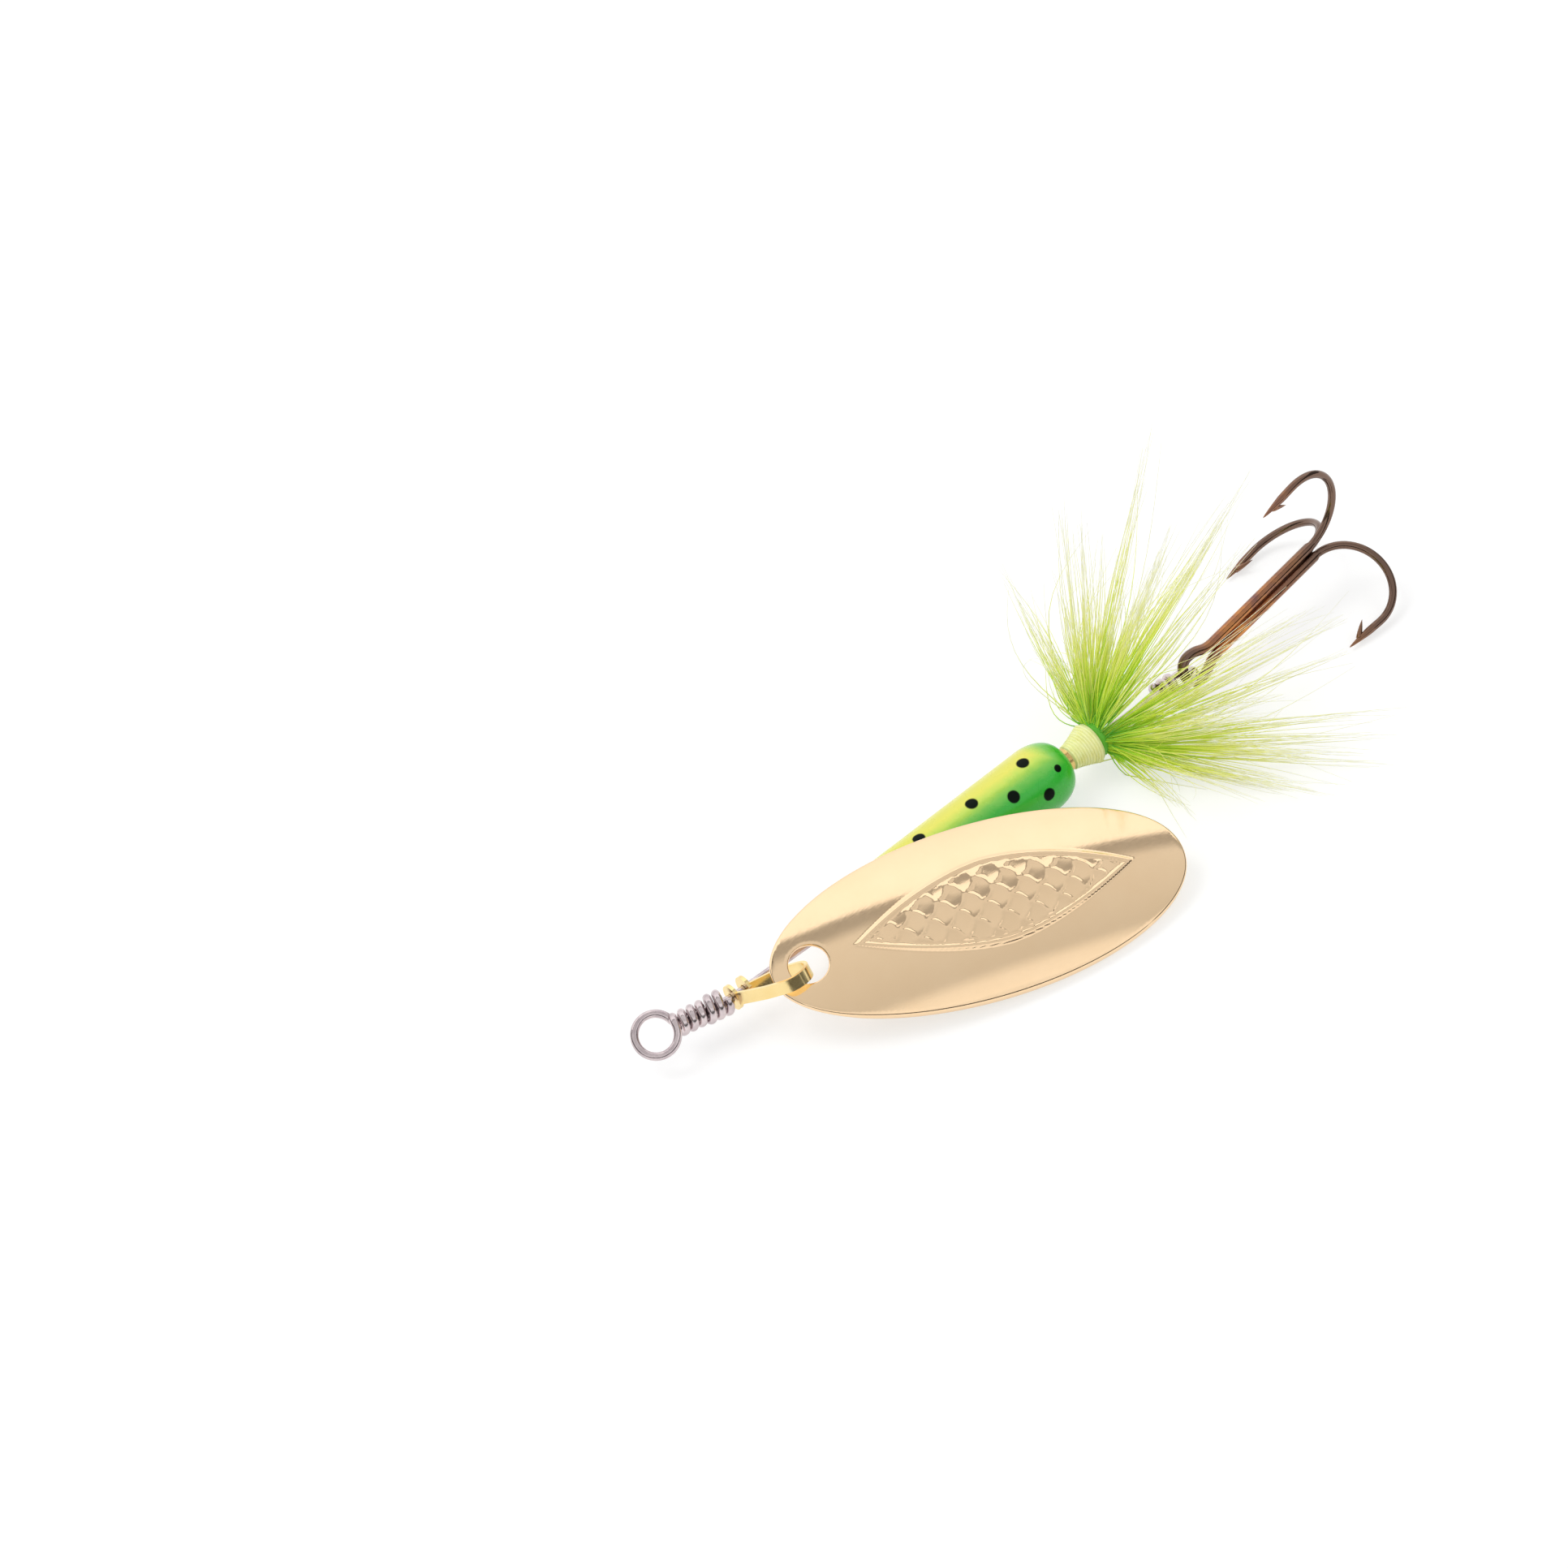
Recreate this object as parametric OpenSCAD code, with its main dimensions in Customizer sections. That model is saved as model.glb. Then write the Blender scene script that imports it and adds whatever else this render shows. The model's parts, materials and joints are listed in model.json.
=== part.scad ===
// Inline spinner: domed blade on a folded clevis, tapered body, tied hackle, treble hook.
// Frame: origin at the centre of the line eye, +X back along the shaft, +Z up as it lies.

/* [Shaft wire] */
// Diameter of the shaft wire
wire_d = 0.75; // [0.6:0.05:0.9]
// Outside diameter of the line eye
eye_d = 4.5; // [4.0:0.1:5.5]
// Radius of the neck bend into the line eye
eye_neck_r = 1.0; // [0.8:0.1:1.4]
// Close turns of the tag end behind the line eye, in half turns
wrap_halves = 7; // [4:1:7]
// Looser last turns of the tag end, in half turns
tag_halves = 5; // [2:1:5]
// How much wider the last turns are wound
tag_loose = 0.15; // [0.1:0.01:0.2]
// Distance from one turn to the next
wrap_pitch = 0.85; // [0.79:0.01:0.9]
// Air between the shaft and its wraps
wrap_gap = 0.06; // [0.03:0.01:0.10]
// Gap between the last wrap and the clevis
wrap_to_clevis = 0.06; // [0.05:0.01:1.0]
// Angle the front of the wire is set off the shaft
front_bend = 12; // [0:0.5:14]
// Direction of that set, around the shaft
front_bend_dir = 0; // [0:5:90]
// Plane of the line eye, around the shaft
eye_roll = 39; // [0:1:90]
// Outside width of the rear loop
rear_loop_d = 3.05; // [2.9:0.05:3.6]
// Radius of the neck bend into the rear loop
rear_neck_r = 1.6; // [1.2:0.1:2.2]
// Turns ahead of the rear loop, in half turns
rear_wrap_halves = 5; // [4:1:7]
// Length of bare shaft between the sleeve and the rear wraps
tail_free = 4.5; // [2.2:0.1:6]

/* [Clevis] */
// Thickness of the folded strip
clevis_t = 0.35; // [0.3:0.05:0.4]
// Width of the strip at the bow
clevis_w = 1.15; // [1.0:0.05:1.2]
// Diameter of the bored ears
ear_d = 2.4; // [2.1:0.1:2.8]
// Distance between the ears, centre to centre
ear_gap = 1.4; // [1.2:0.1:1.8]
// Inside radius of the bow
bow_r = 1.46; // [1.4:0.02:1.6]
// Distance of the blade's rim bar from the shaft
bow_reach = 3.95; // [3.6:0.05:4.5]
// Setback of the rim bar behind the front ear
bow_setback = 3.3; // [3.0:0.05:4.5]
// Slack from the rim bar to the bow's centre
bow_slack = 0.9; // [0.6:0.1:1.4]
// Direction from the shaft to the blade's rim bar as the lure lies
bar_roll = 142; // [120:1:170]
// How far the clevis is turned past that direction
clevis_lag = 7; // [5:0.5:9]

/* [Blade] */
// Length of the blade
blade_l = 38.6; // [30:0.2:42]
// Widest width of the blade
blade_w = 16.6; // [13:0.2:18]
// Sheet thickness
blade_t = 0.7; // [0.5:0.05:0.8]
// Diameter of the blade's hole
blade_hole_d = 3.4; // [3.0:0.1:3.6]
// Metal left between the hole and the front edge
blade_bar = 1.65; // [1.4:0.05:1.7]
// Radius of the dome across the blade
dome_cross_r = 18; // [14:0.5:30]
// Radius of the dome along the blade
dome_long_r = 92; // [70:1:150]
// Skew of the outline towards the rear, 1 is even
blade_skew = 1.05; // [0.9:0.01:1.2]
// Fullness of the outline, 0.5 is an ellipse
blade_full = 0.48; // [0.44:0.01:0.6]
// Heading of the blade as it lies
blade_yaw = -19.4; // [-24:0.2:-19]
// Slope of the blade as it lies
blade_pitch = -4.3; // [-6:0.1:-3]
// Lean of the blade as it lies
blade_lean = 22; // [20:0.5:24]

/* [Body and beads] */
// Diameter of the front bead
bead_front_d = 3.0; // [2.4:0.1:3.2]
// Diameter of the rear bead
bead_rear_d = 3.6; // [2.8:0.1:3.8]
// Play of the beads and body along the shaft, in front of the beads
bead_play = 7.3; // [6.8:0.1:9]
// Face gap between neighbours on the shaft
face_gap = 0.05; // [0.02:0.01:0.1]
// Radial clearance of what turns on the shaft
run_gap = 0.08; // [0.05:0.01:0.09]
// Length of the body
body_l = 22.8; // [20:0.2:27]
// Largest diameter of the body
body_d = 6.44; // [5.4:0.02:6.46]
// Diameter of the body's nose
nose_d = 5.2; // [3.6:0.1:5.4]
// Rounding of the nose
nose_round = 1.0; // [0.5:0.1:1.4]
// Length of the rounded rear shoulder
shoulder_l = 3.0; // [2:0.1:4]
// Diameter of the flat rear face
rear_face_d = 3.0; // [2.6:0.1:3.6]

/* [Sleeve, thread and hackle] */
// Outside diameter of the brass core sleeve
sleeve_d = 1.75; // [1.6:0.05:2.0]
// Outside diameter of the sleeve's flange behind the body
flange_d = 2.3; // [2.1:0.05:2.5]
// Thickness of the flange
flange_t = 0.6; // [0.4:0.1:0.8]
// Fit gap between the sleeve and what is pressed on it
seat_gap = 0.02; // [0.01:0.01:0.03]
// Length of the thread collar
thread_l = 2.9; // [2.6:0.1:4.2]
// Thread collar diameter at the front
thread_front_d = 2.5; // [2.3:0.1:2.8]
// Thread collar diameter at the rear
thread_rear_d = 4.2; // [3.4:0.1:4.4]
// Length of the tied root of the hackle
root_l = 1.2; // [1.1:0.1:1.6]
// Number of hackle tufts
tufts = 18; // [12:1:20]
// Length of the shortest tuft
tuft_min_l = 16; // [12:1:18]
// Length of the longest tuft
tuft_max_l = 26; // [20:1:28]
// Half thickness of a tuft
tuft_r = 0.45; // [0.4:0.05:0.8]
// Smallest angle of a tuft to the shaft
tuft_min_a = 34; // [34:1:40]
// Largest angle of a tuft to the shaft
tuft_max_a = 80; // [60:1:84]

/* [Treble hook] */
// Diameter of the hook wire
hook_d = 1.0; // [0.9:0.05:1.1]
// Air between the brazed shanks
shank_gap = 0.04; // [0.02:0.01:0.06]
// Mean radius of the hook's eye
hook_eye_r = 1.25; // [1.2:0.05:1.5]
// Air between the hook's eye and the rear loop
link_gap = 0.06; // [0.05:0.01:0.1]
// Length of the treble, from the link to the back of the bends
hook_l = 21.7; // [18:0.1:24]
// Mean radius of the bends
bend_r = 4.3; // [3.6:0.1:4.6]
// Turn of each bend past a half circle
bend_over = 4; // [0:1:8]
// Length of each point leg with its point
leg_l = 4.0; // [3.6:0.1:4.6]
// Length of the ground point
point_l = 1.7; // [1.3:0.1:2.0]
// Plane of the hook's eye, around the shaft
hook_roll = 60; // [40:1:80]
// Swing of the treble off the shaft as it lies
hook_swing = 9; // [7:0.1:10]

/* [Hidden] */
$fn = 32;

wire_r = wire_d / 2;
bore_r = wire_r + run_gap;
sleeve_r = sleeve_d / 2;
seat_r = sleeve_r + seat_gap;
coil_r = wire_d + wrap_gap;

// Stations along the shaft, from the front ear of the clevis backwards
ear_front_x = -2.75;
ear_rear_x = ear_front_x + ear_gap;
bend_x = ear_front_x - clevis_t / 2 - wrap_to_clevis;
bead_front_x = ear_rear_x + clevis_t / 2 + bead_play;
bead_rear_x = bead_front_x + bead_front_d + face_gap;
body_x = bead_rear_x + bead_rear_d + face_gap;
body_end_x = body_x + body_l;
flange_x = body_end_x + face_gap;
thread_x = flange_x + flange_t + face_gap;
hackle_x = thread_x + thread_l + face_gap;
sleeve_end_x = hackle_x + root_l - 0.2;

// A loop starts with a small bend aside, rounds its circle and crosses the shaft squarely
function neck_angle(n, r) = acos(n / (n + r));
function loop_offset(n, r) = (n + r) * sin(neck_angle(n, r));
eye_r = (eye_d - wire_d) / 2;
rear_r = (rear_loop_d - wire_d) / 2;
eye_wrap_l = (wrap_halves + tag_halves) * wrap_pitch / 2 + wire_r;
rear_wrap_l = rear_wrap_halves * wrap_pitch / 2 + wire_r;
eye_to_bend = eye_r + eye_wrap_l;
rear_neck_x = sleeve_end_x + tail_free + rear_wrap_l + loop_offset(rear_neck_r, rear_r) - rear_r;
link_x = rear_neck_x + loop_offset(rear_neck_r, rear_r) + rear_r;

// Centre of the line eye, seen from the shaft's axis
eye_x = bend_x - eye_to_bend * cos(front_bend);
eye_y = eye_to_bend * sin(front_bend) * cos(front_bend_dir);
eye_z = eye_to_bend * sin(front_bend) * sin(front_bend_dir);

// Where the blade's rim bar sits in the clevis, and the floor the lure lies on
bar_x = ear_front_x + bow_setback;
bar_y = bow_reach * cos(bar_roll);
bar_z = bow_reach * sin(bar_roll);
floor_z = -body_d / 2 - 0.03;

strand = (hook_d + shank_gap) / 2;
bundle = strand / sqrt(3);
gape_x = hook_l - bend_r - hook_d / 2;
link_r = wire_r + link_gap + hook_d / 2;

// Every node is drawn from the shaft's axis and shown from the line eye
module from_eye() translate([-eye_x, -eye_y, -eye_z]) children();

module along_x(x, h, r1, r2) translate([x, 0, 0]) rotate([0, 90, 0]) cylinder(h = h, r1 = r1, r2 = r2);

// One bent wire. Steps: ["l", length], ["a", radius, angle], ["t", roll], ["p", length] for a
// point, and ["k"] for a joint bead 8 microns proud that closes the seam between two bends
module bent(path, r, i = 0) {
    if (i < len(path)) {
        s = path[i];
        if (s[0] == "l") {
            along_x(0, s[1], r, r);
            translate([s[1], 0, 0]) bent(path, r, i + 1);
        } else if (s[0] == "t") {
            rotate([s[1], 0, 0]) bent(path, r, i + 1);
        } else if (s[0] == "k") {
            rotate([0, 90, 0]) sphere(r = r + 0.008);
            bent(path, r, i + 1);
        } else if (s[0] == "p") {
            along_x(0, s[1] * 0.35, r, r * 0.86);
            along_x(s[1] * 0.35, s[1] * 0.65, r * 0.86, r * 0.08);
        } else {
            side = sign(s[2]);
            translate([0, side * s[1], 0]) rotate([0, 0, side > 0 ? -90 : 90 + s[2]])
                rotate_extrude(angle = abs(s[2])) translate([s[1], 0]) circle(r = r, $fn = 24);
            translate([0, side * s[1], 0]) rotate([0, 0, s[2]]) translate([0, -side * s[1], 0])
                bent(path, r, i + 1);
        }
    }
}

// Half turns of a coil, each tilted so that the wire climbs without a kink
function climb(r) = asin(wrap_pitch / 4 / r);
function coil_steps(halves, r, entry) =
    [for (i = [0 : halves - 1], j = [0 : 1]) j == 0 ? ["t", -climb(r) - (i == 0 ? entry : climb(r))] : ["a", r, 180]];

function loop_tilt(r) = asin(coil_r / 2 / r);
function loop_steps(n, r) = let (a = neck_angle(n, r))
    [["a", n, -a], ["k"], ["a", r, 90 + a], ["k"], ["t", loop_tilt(r)], ["a", r, 180]];

module shaft_wire() {
    color("silver") from_eye() {
        along_x(bend_x, rear_neck_x - bend_x, wire_r, wire_r);
        translate([bend_x, 0, 0]) rotate([front_bend_dir, 0, 0]) rotate([0, 0, -front_bend])
            rotate([-front_bend_dir, 0, 0]) {
                neck = eye_to_bend - loop_offset(eye_neck_r, eye_r);
                along_x(-neck, neck, wire_r, wire_r);
                rotate([0, 90, 0]) sphere(r = wire_r + 0.008);
                translate([-neck, 0, 0]) rotate([eye_roll, 0, 0]) rotate([0, 0, 180])
                    bent(concat([["k"]], loop_steps(eye_neck_r, eye_r),
                                coil_steps(wrap_halves, coil_r, 90 - loop_tilt(eye_r)),
                                coil_steps(tag_halves, coil_r + tag_loose, climb(coil_r))), wire_r);
            }
        translate([rear_neck_x, 0, 0]) rotate([hook_roll + 90, 0, 0])
            bent(concat([["k"]], loop_steps(rear_neck_r, rear_r),
                        coil_steps(rear_wrap_halves, coil_r, 90 - loop_tilt(rear_r))), wire_r);
    }
}

// Straight run of the clevis strip between two points of its side view
module strip(p, q) {
    d = q - p;
    translate(p) rotate(atan2(d[1], d[0])) translate([0, -clevis_t / 2]) square([norm(d), clevis_t]);
    translate(q) circle(d = clevis_t, $fn = 24);
}

// Side view of the folded strip: x along the shaft, y away from it
module clevis_side() {
    bar = [bar_x, bow_reach];
    foot = [(ear_front_x + ear_rear_x) / 2, 0];
    lean = atan2(bar[1] - foot[1], bar[0] - foot[0]);
    d = [cos(lean), sin(lean)];
    p = [-d[1], d[0]];
    r = bow_r + clevis_t / 2;
    top = bar + d * bow_slack;
    knee = ear_d * 0.45;
    strip([ear_front_x, 0], [ear_front_x, knee]);
    strip([ear_front_x, knee], bar - d * 1.1 + p * r);
    strip(bar - d * 1.1 + p * r, top + p * r);
    strip([ear_rear_x, 0], [ear_rear_x, knee * 0.8]);
    strip([ear_rear_x, knee * 0.8], bar - d * 0.9 - p * r);
    strip(bar - d * 0.9 - p * r, top - p * r);
    translate(top) rotate(lean) intersection() {
        difference() {
            circle(r = r + clevis_t / 2, $fn = 48);
            circle(r = r - clevis_t / 2, $fn = 48);
        }
        translate([0, -2 * r]) square([2 * r, 4 * r]);
    }
}

module clevis() {
    color("gold") from_eye() rotate([bar_roll + clevis_lag, 0, 0]) difference() {
        union() {
            linear_extrude(height = clevis_w, center = true) clevis_side();
            for (x = [ear_front_x, ear_rear_x])
                along_x(x - clevis_t / 2, clevis_t, ear_d / 2, ear_d / 2);
        }
        along_x(ear_front_x - clevis_t, ear_gap + 2 * clevis_t, bore_r, bore_r);
    }
}

// Half width of the blade at a share t of its length
function blade_half(t) = let (s = pow(t, blade_skew)) blade_w / 2 * pow(4 * s * (1 - s), blade_full);

module blade_outline() {
    n = 44;
    ts = [for (i = [0 : n]) (1 - cos(180 * i / n)) / 2];
    polygon(concat([for (i = [0 : n]) [ts[i] * blade_l, blade_half(ts[i])]],
                   [for (i = [1 : n - 1]) [ts[n - i] * blade_l, -blade_half(ts[n - i])]]));
}

// Solid of revolution whose top is the dome, with the crown at z = 0 over the blade's middle
module dome(inset) {
    translate([0, 0, -dome_long_r]) rotate([90, 0, 0])
        rotate_extrude($fn = 200) translate([dome_long_r - dome_cross_r, 0])
            circle(r = dome_cross_r - inset, $fn = 120);
}

function dome_drop(x) = dome_long_r - sqrt(dome_long_r * dome_long_r - x * x);

// The blade in its own frame: origin on the rim bar, +X to the rear, +Z out of the dome
module blade_flat() {
    bar = blade_bar / 2;
    translate([blade_l / 2 - bar, 0, dome_drop(blade_l / 2 - bar) + blade_t / 2]) difference() {
        intersection() {
            translate([-blade_l / 2, 0, -12]) linear_extrude(height = 12.5) blade_outline();
            difference() {
                dome(0);
                dome(blade_t);
            }
        }
        translate([blade_bar + blade_hole_d / 2 - blade_l / 2, 0, -12]) cylinder(h = 13, d = blade_hole_d);
    }
}

module blade() {
    color("gold") from_eye() translate([bar_x, bar_y, bar_z])
        rotate([0, 0, blade_yaw]) rotate([0, -blade_pitch, 0]) rotate([blade_lean, 0, 0]) blade_flat();
}

module bead(x, d) {
    from_eye() translate([x + d / 2, 0, 0]) rotate([0, 90, 0]) rotate_extrude($fn = 96) intersection() {
        circle(d = d, $fn = 64);
        translate([bore_r, -d * 0.47]) square([d, d * 0.94]);
    }
}

module bead_front() { color("goldenrod") bead(bead_front_x, bead_front_d); }

module bead_rear() { color("goldenrod") bead(bead_rear_x, bead_rear_d); }

// Lathe profile: [x, r] pairs turned around the shaft
module turned(points) {
    rotate([0, 90, 0]) rotate([0, 0, 90]) rotate_extrude($fn = 96)
        polygon([for (p = points) [p[1], p[0]]]);
}

module body() {
    nose = [for (a = [0 : 15 : 90]) [body_x + nose_round * (1 - sin(a)), nose_d / 2 - nose_round * (1 - cos(a))]];
    back = body_end_x - shoulder_l;
    rear_r0 = rear_face_d / 2;
    shoulder = [for (a = [0 : 10 : 90]) [back + shoulder_l * sin(a), rear_r0 + (body_d / 2 - rear_r0) * cos(a)]];
    color("yellowgreen") from_eye()
        turned(concat([[body_end_x, seat_r], [body_x, seat_r]], [for (i = [0 : 6]) nose[6 - i]], shoulder));
}

module sleeve() {
    color("peru") from_eye() turned([
        [body_x, bore_r], [body_x, sleeve_r], [flange_x, sleeve_r], [flange_x, flange_d / 2 - 0.1],
        [flange_x + 0.1, flange_d / 2], [flange_x + flange_t, flange_d / 2], [flange_x + flange_t, sleeve_r],
        [sleeve_end_x, sleeve_r], [sleeve_end_x, bore_r]]);
}

module thread_wrap() {
    r0 = thread_front_d / 2;
    r1 = thread_rear_d / 2;
    flare = [for (t = [0 : 0.125 : 1]) [thread_x + thread_l * 0.94 * t, r0 + (r1 - r0) * pow(t, 1.3)]];
    color("khaki") from_eye() turned(concat([[thread_x, seat_r]], flare,
        [[thread_x + thread_l, r1 - thread_l * 0.06], [thread_x + thread_l, seat_r]]));
}

// Tuft i of the hackle: spread evenly around the shaft, splayed by turns, kept above the floor
function share(x) = x - floor(x);
function tuft_turn(i) = -6 + 192 * i / (tufts - 1);
function tuft_splay(i) = tuft_min_a + (tuft_max_a - tuft_min_a) * share(i * 0.6180 + 0.1);
function tuft_len(i) = tuft_min_l + (tuft_max_l - tuft_min_l) * share(i * 0.3819 + 0.35);
function around(x, r, turn) = [x, r * cos(turn), r * sin(turn)];
root_r = (seat_r + thread_rear_d / 2) / 2;

module tuft(i) {
    from = around(hackle_x + root_l / 2, root_r, tuft_turn(i));
    free = from + tuft_len(i) * around(cos(tuft_splay(i)), sin(tuft_splay(i)), tuft_turn(i));
    d = [free[0], free[1], max(free[2], floor_z + tuft_r * 1.2)] - from;
    l = norm(d);
    translate(from) rotate([0, acos(d[2] / l), atan2(d[1], d[0])]) {
        cylinder(h = l * 0.45, r1 = tuft_r * 0.3, r2 = tuft_r);
        translate([0, 0, l * 0.45]) cylinder(h = l * 0.55, r1 = tuft_r, r2 = tuft_r * 0.3);
    }
}

module hackle() {
    color("greenyellow") from_eye() union() {
        turned([[hackle_x, seat_r], [hackle_x, thread_rear_d / 2 - 0.25], [hackle_x + root_l, thread_rear_d / 2],
                [hackle_x + root_l, seat_r]]);
        for (i = [0 : tufts - 1]) tuft(i);
    }
}

// Bend, leg, barb and point of one hook, from the end of its shank
function hook_end(roll) = [["k"], ["t", roll], ["a", bend_r, 180 + bend_over], ["k"],
                          ["l", leg_l - point_l], ["p", point_l]];

module barb(roll) {
    rotate([roll, 0, 0]) translate([0, bend_r, 0]) rotate([0, 0, 180 + bend_over])
        translate([leg_l - point_l * 0.9, -bend_r + hook_d * 0.2, 0]) rotate([0, 0, 180 - 24])
            along_x(0, hook_d * 1.15, hook_d * 0.24, hook_d * 0.04);
}

// The treble's frame: origin where the rear loop holds its eye, +X along the shanks
module from_link() {
    from_eye() translate([link_x, 0, 0]) rotate([hook_roll, 0, 0]) rotate([0, 0, hook_swing]) children();
}

module hook_pair() {
    narrow = acos(1 - (hook_eye_r - strand) / 6);
    shank = gape_x - (hook_eye_r - link_r) - 6 * sin(narrow);
    color("saddlebrown") from_link() for (side = [0, 1]) mirror([0, side, 0]) {
        translate([-link_r, 0, 0]) rotate([0, 0, 90])
            bent(concat([["k"], ["a", hook_eye_r, -90], ["k"], ["a", 3, -narrow], ["k"], ["a", 3, narrow],
                         ["k"], ["l", shank]], hook_end(30)), hook_d / 2);
        translate([gape_x, strand, 0]) barb(30);
    }
}

module hook_single() {
    start = link_r + hook_eye_r + 2.2;
    color("saddlebrown") from_link() translate([0, 0, -bundle * 3]) {
        along_x(start, 1, hook_d * 0.3, hook_d / 2);
        translate([start + 1, 0, 0])
            bent(concat([["l", gape_x - start - 1]], hook_end(-90)), hook_d / 2);
        translate([gape_x, 0, 0]) barb(-90);
    }
}

shaft_wire();
clevis();
blade();
bead_front();
bead_rear();
body();
sleeve();
thread_wrap();
hackle();
hook_pair();
hook_single();
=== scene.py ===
import bpy, bmesh, json, math
from mathutils import Vector, Matrix
from mathutils.bvhtree import BVHTree
from mathutils.geometry import delaunay_2d_cdt

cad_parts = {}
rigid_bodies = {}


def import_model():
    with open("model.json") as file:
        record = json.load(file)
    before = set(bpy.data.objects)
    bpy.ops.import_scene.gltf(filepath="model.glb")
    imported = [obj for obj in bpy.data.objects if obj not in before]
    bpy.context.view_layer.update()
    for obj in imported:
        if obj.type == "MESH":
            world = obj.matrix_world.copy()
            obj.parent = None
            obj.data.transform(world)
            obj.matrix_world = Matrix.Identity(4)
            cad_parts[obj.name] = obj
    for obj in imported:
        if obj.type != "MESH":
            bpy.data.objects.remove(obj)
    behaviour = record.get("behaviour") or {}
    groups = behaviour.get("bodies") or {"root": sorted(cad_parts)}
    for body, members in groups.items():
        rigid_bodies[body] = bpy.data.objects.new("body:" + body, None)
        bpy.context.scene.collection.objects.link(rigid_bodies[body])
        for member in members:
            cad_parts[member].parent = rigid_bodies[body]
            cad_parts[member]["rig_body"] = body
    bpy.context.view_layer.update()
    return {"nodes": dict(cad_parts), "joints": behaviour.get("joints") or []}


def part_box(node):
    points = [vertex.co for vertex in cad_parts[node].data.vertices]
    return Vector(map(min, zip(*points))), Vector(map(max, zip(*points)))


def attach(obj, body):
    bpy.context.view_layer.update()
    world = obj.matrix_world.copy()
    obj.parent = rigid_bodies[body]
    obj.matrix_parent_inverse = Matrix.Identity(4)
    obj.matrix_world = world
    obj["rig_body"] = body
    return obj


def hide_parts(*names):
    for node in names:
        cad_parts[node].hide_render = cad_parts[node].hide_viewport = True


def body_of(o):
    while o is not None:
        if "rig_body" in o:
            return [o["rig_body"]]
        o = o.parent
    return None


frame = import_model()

mm = 0.001
cos = lambda deg: math.cos(math.radians(deg))
sin = lambda deg: math.sin(math.radians(deg))


def newObject(name, data):
    obj = bpy.data.objects.new(name, data)
    bpy.context.scene.collection.objects.link(obj)
    return obj


# camera: aim first, then the photo's framing by shift
shot = {
    "azimuth": -34.4, "elevation": 45.1, "roll": -9.6, "distance": 0.4, "aim": (0.038174, -0.001528, 0.0),
    "lens": 102.7, "sensor": 36.0, "shiftX": -0.1366, "shiftY": 0.0154,
}


def placeCamera():
    a, e, r = shot["azimuth"], shot["elevation"], shot["roll"]
    right = Vector((cos(a), sin(a), 0))
    flat = Vector((-sin(a), cos(a), 0))
    look = flat * cos(e) - Vector((0, 0, sin(e)))
    up = flat * sin(e) + Vector((0, 0, cos(e)))
    turnedRight = right * cos(r) + up * sin(r)
    turnedUp = up * cos(r) - right * sin(r)
    data = bpy.data.cameras.new("photoCamera")
    data.lens, data.sensor_fit = shot["lens"], "AUTO"
    data.shift_x, data.shift_y = shot["shiftX"], shot["shiftY"]
    data.clip_start, data.clip_end = 0.01, 20
    cam = newObject("photoCamera", data)
    turn = Matrix((turnedRight, turnedUp, -look)).transposed().to_4x4()
    cam.matrix_world = Matrix.Translation(Vector(shot["aim"]) - look * shot["distance"]) @ turn
    bpy.context.scene.camera = cam
    bpy.context.view_layer.update()
    return cam


camera = placeCamera()
print("camera placed")

# named points in the photo's frame scaled to 1568, moved to where the last render shows them
photoSide = 1568
photoPoints = {
    "lureLeft": (629.9, None), "lureRight": (1406.9, None), "lureTop": (None, 424.5),
    "lureBottom": (None, 1061.0), "lineEye": (655.9, 1035.2), "bladeHole": (808.7, 962.9),
    "bladeTop": (1082.5, 807.2), "bladeRear": (1186.8, 865.8), "bladeFoot": (876.6, 1018.8),
    "bodyShoulder": (1041.5, 742.6), "threadCollar": (1079.0, 750.5), "dotRear": (1022.6, 762.9),
    "dotMiddle": (971.5, 803.5), "dotRing": (1049.4, 794.5), "hookTopBend": (1315.9, 470.0),
    "hookTopPoint": (1263.1, 517.9), "hookSideBend": (1397.0, 591.3), "hookSidePoint": (1349.7, 647.3),
    "hookBackPoint": (1226.3, 579.3),
}
photoDots = [name for name in photoPoints if name.startswith("dot")]


def photoRay(x, y):
    side, lens = photoSide, shot["lens"] / shot["sensor"]
    d = Vector((x - side / 2 + shot["shiftX"] * side, side / 2 - y + shot["shiftY"] * side, -side * lens))
    return camera.matrix_world.translation.copy(), (camera.matrix_world.to_3x3() @ d).normalized()


def onPhoto(p):
    q = camera.matrix_world.inverted() @ Vector(p)
    scale = photoSide * shot["lens"] / shot["sensor"] / -q.z
    return (photoSide / 2 - shot["shiftX"] * photoSide + q.x * scale,
            photoSide / 2 + shot["shiftY"] * photoSide - q.y * scale)


def surfaceOf(obj):
    mesh = obj.data
    return BVHTree.FromPolygons([v.co for v in mesh.vertices], [tuple(p.vertices) for p in mesh.polygons])


def seenPlace(tree, x, y):
    # where the photo's ray meets a piece, or else the place nearest to the ray
    start, d = photoRay(x, y)
    place = tree.ray_cast(start, d)[0]
    if place is None:
        reaches = [shot["distance"] + 0.002 * k for k in range(-25, 26)]
        nearest = min((tree.find_nearest(start + d * reach) for reach in reaches), key=lambda near: near[3])
        place = nearest[0]
    return place


# where the frame puts things: its boxes in metres, single places in millimetres
bodyLow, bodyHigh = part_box("body")
axisY = (bodyLow.y + bodyHigh.y) / 2 / mm
floorZ = -3.25
threadLow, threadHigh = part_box("thread_wrap")
hackleLow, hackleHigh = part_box("hackle")
joints = {j["name"]: j for j in frame["joints"]}
linkX = joints["hook_swing"]["pos_m"][0] / mm


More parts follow.
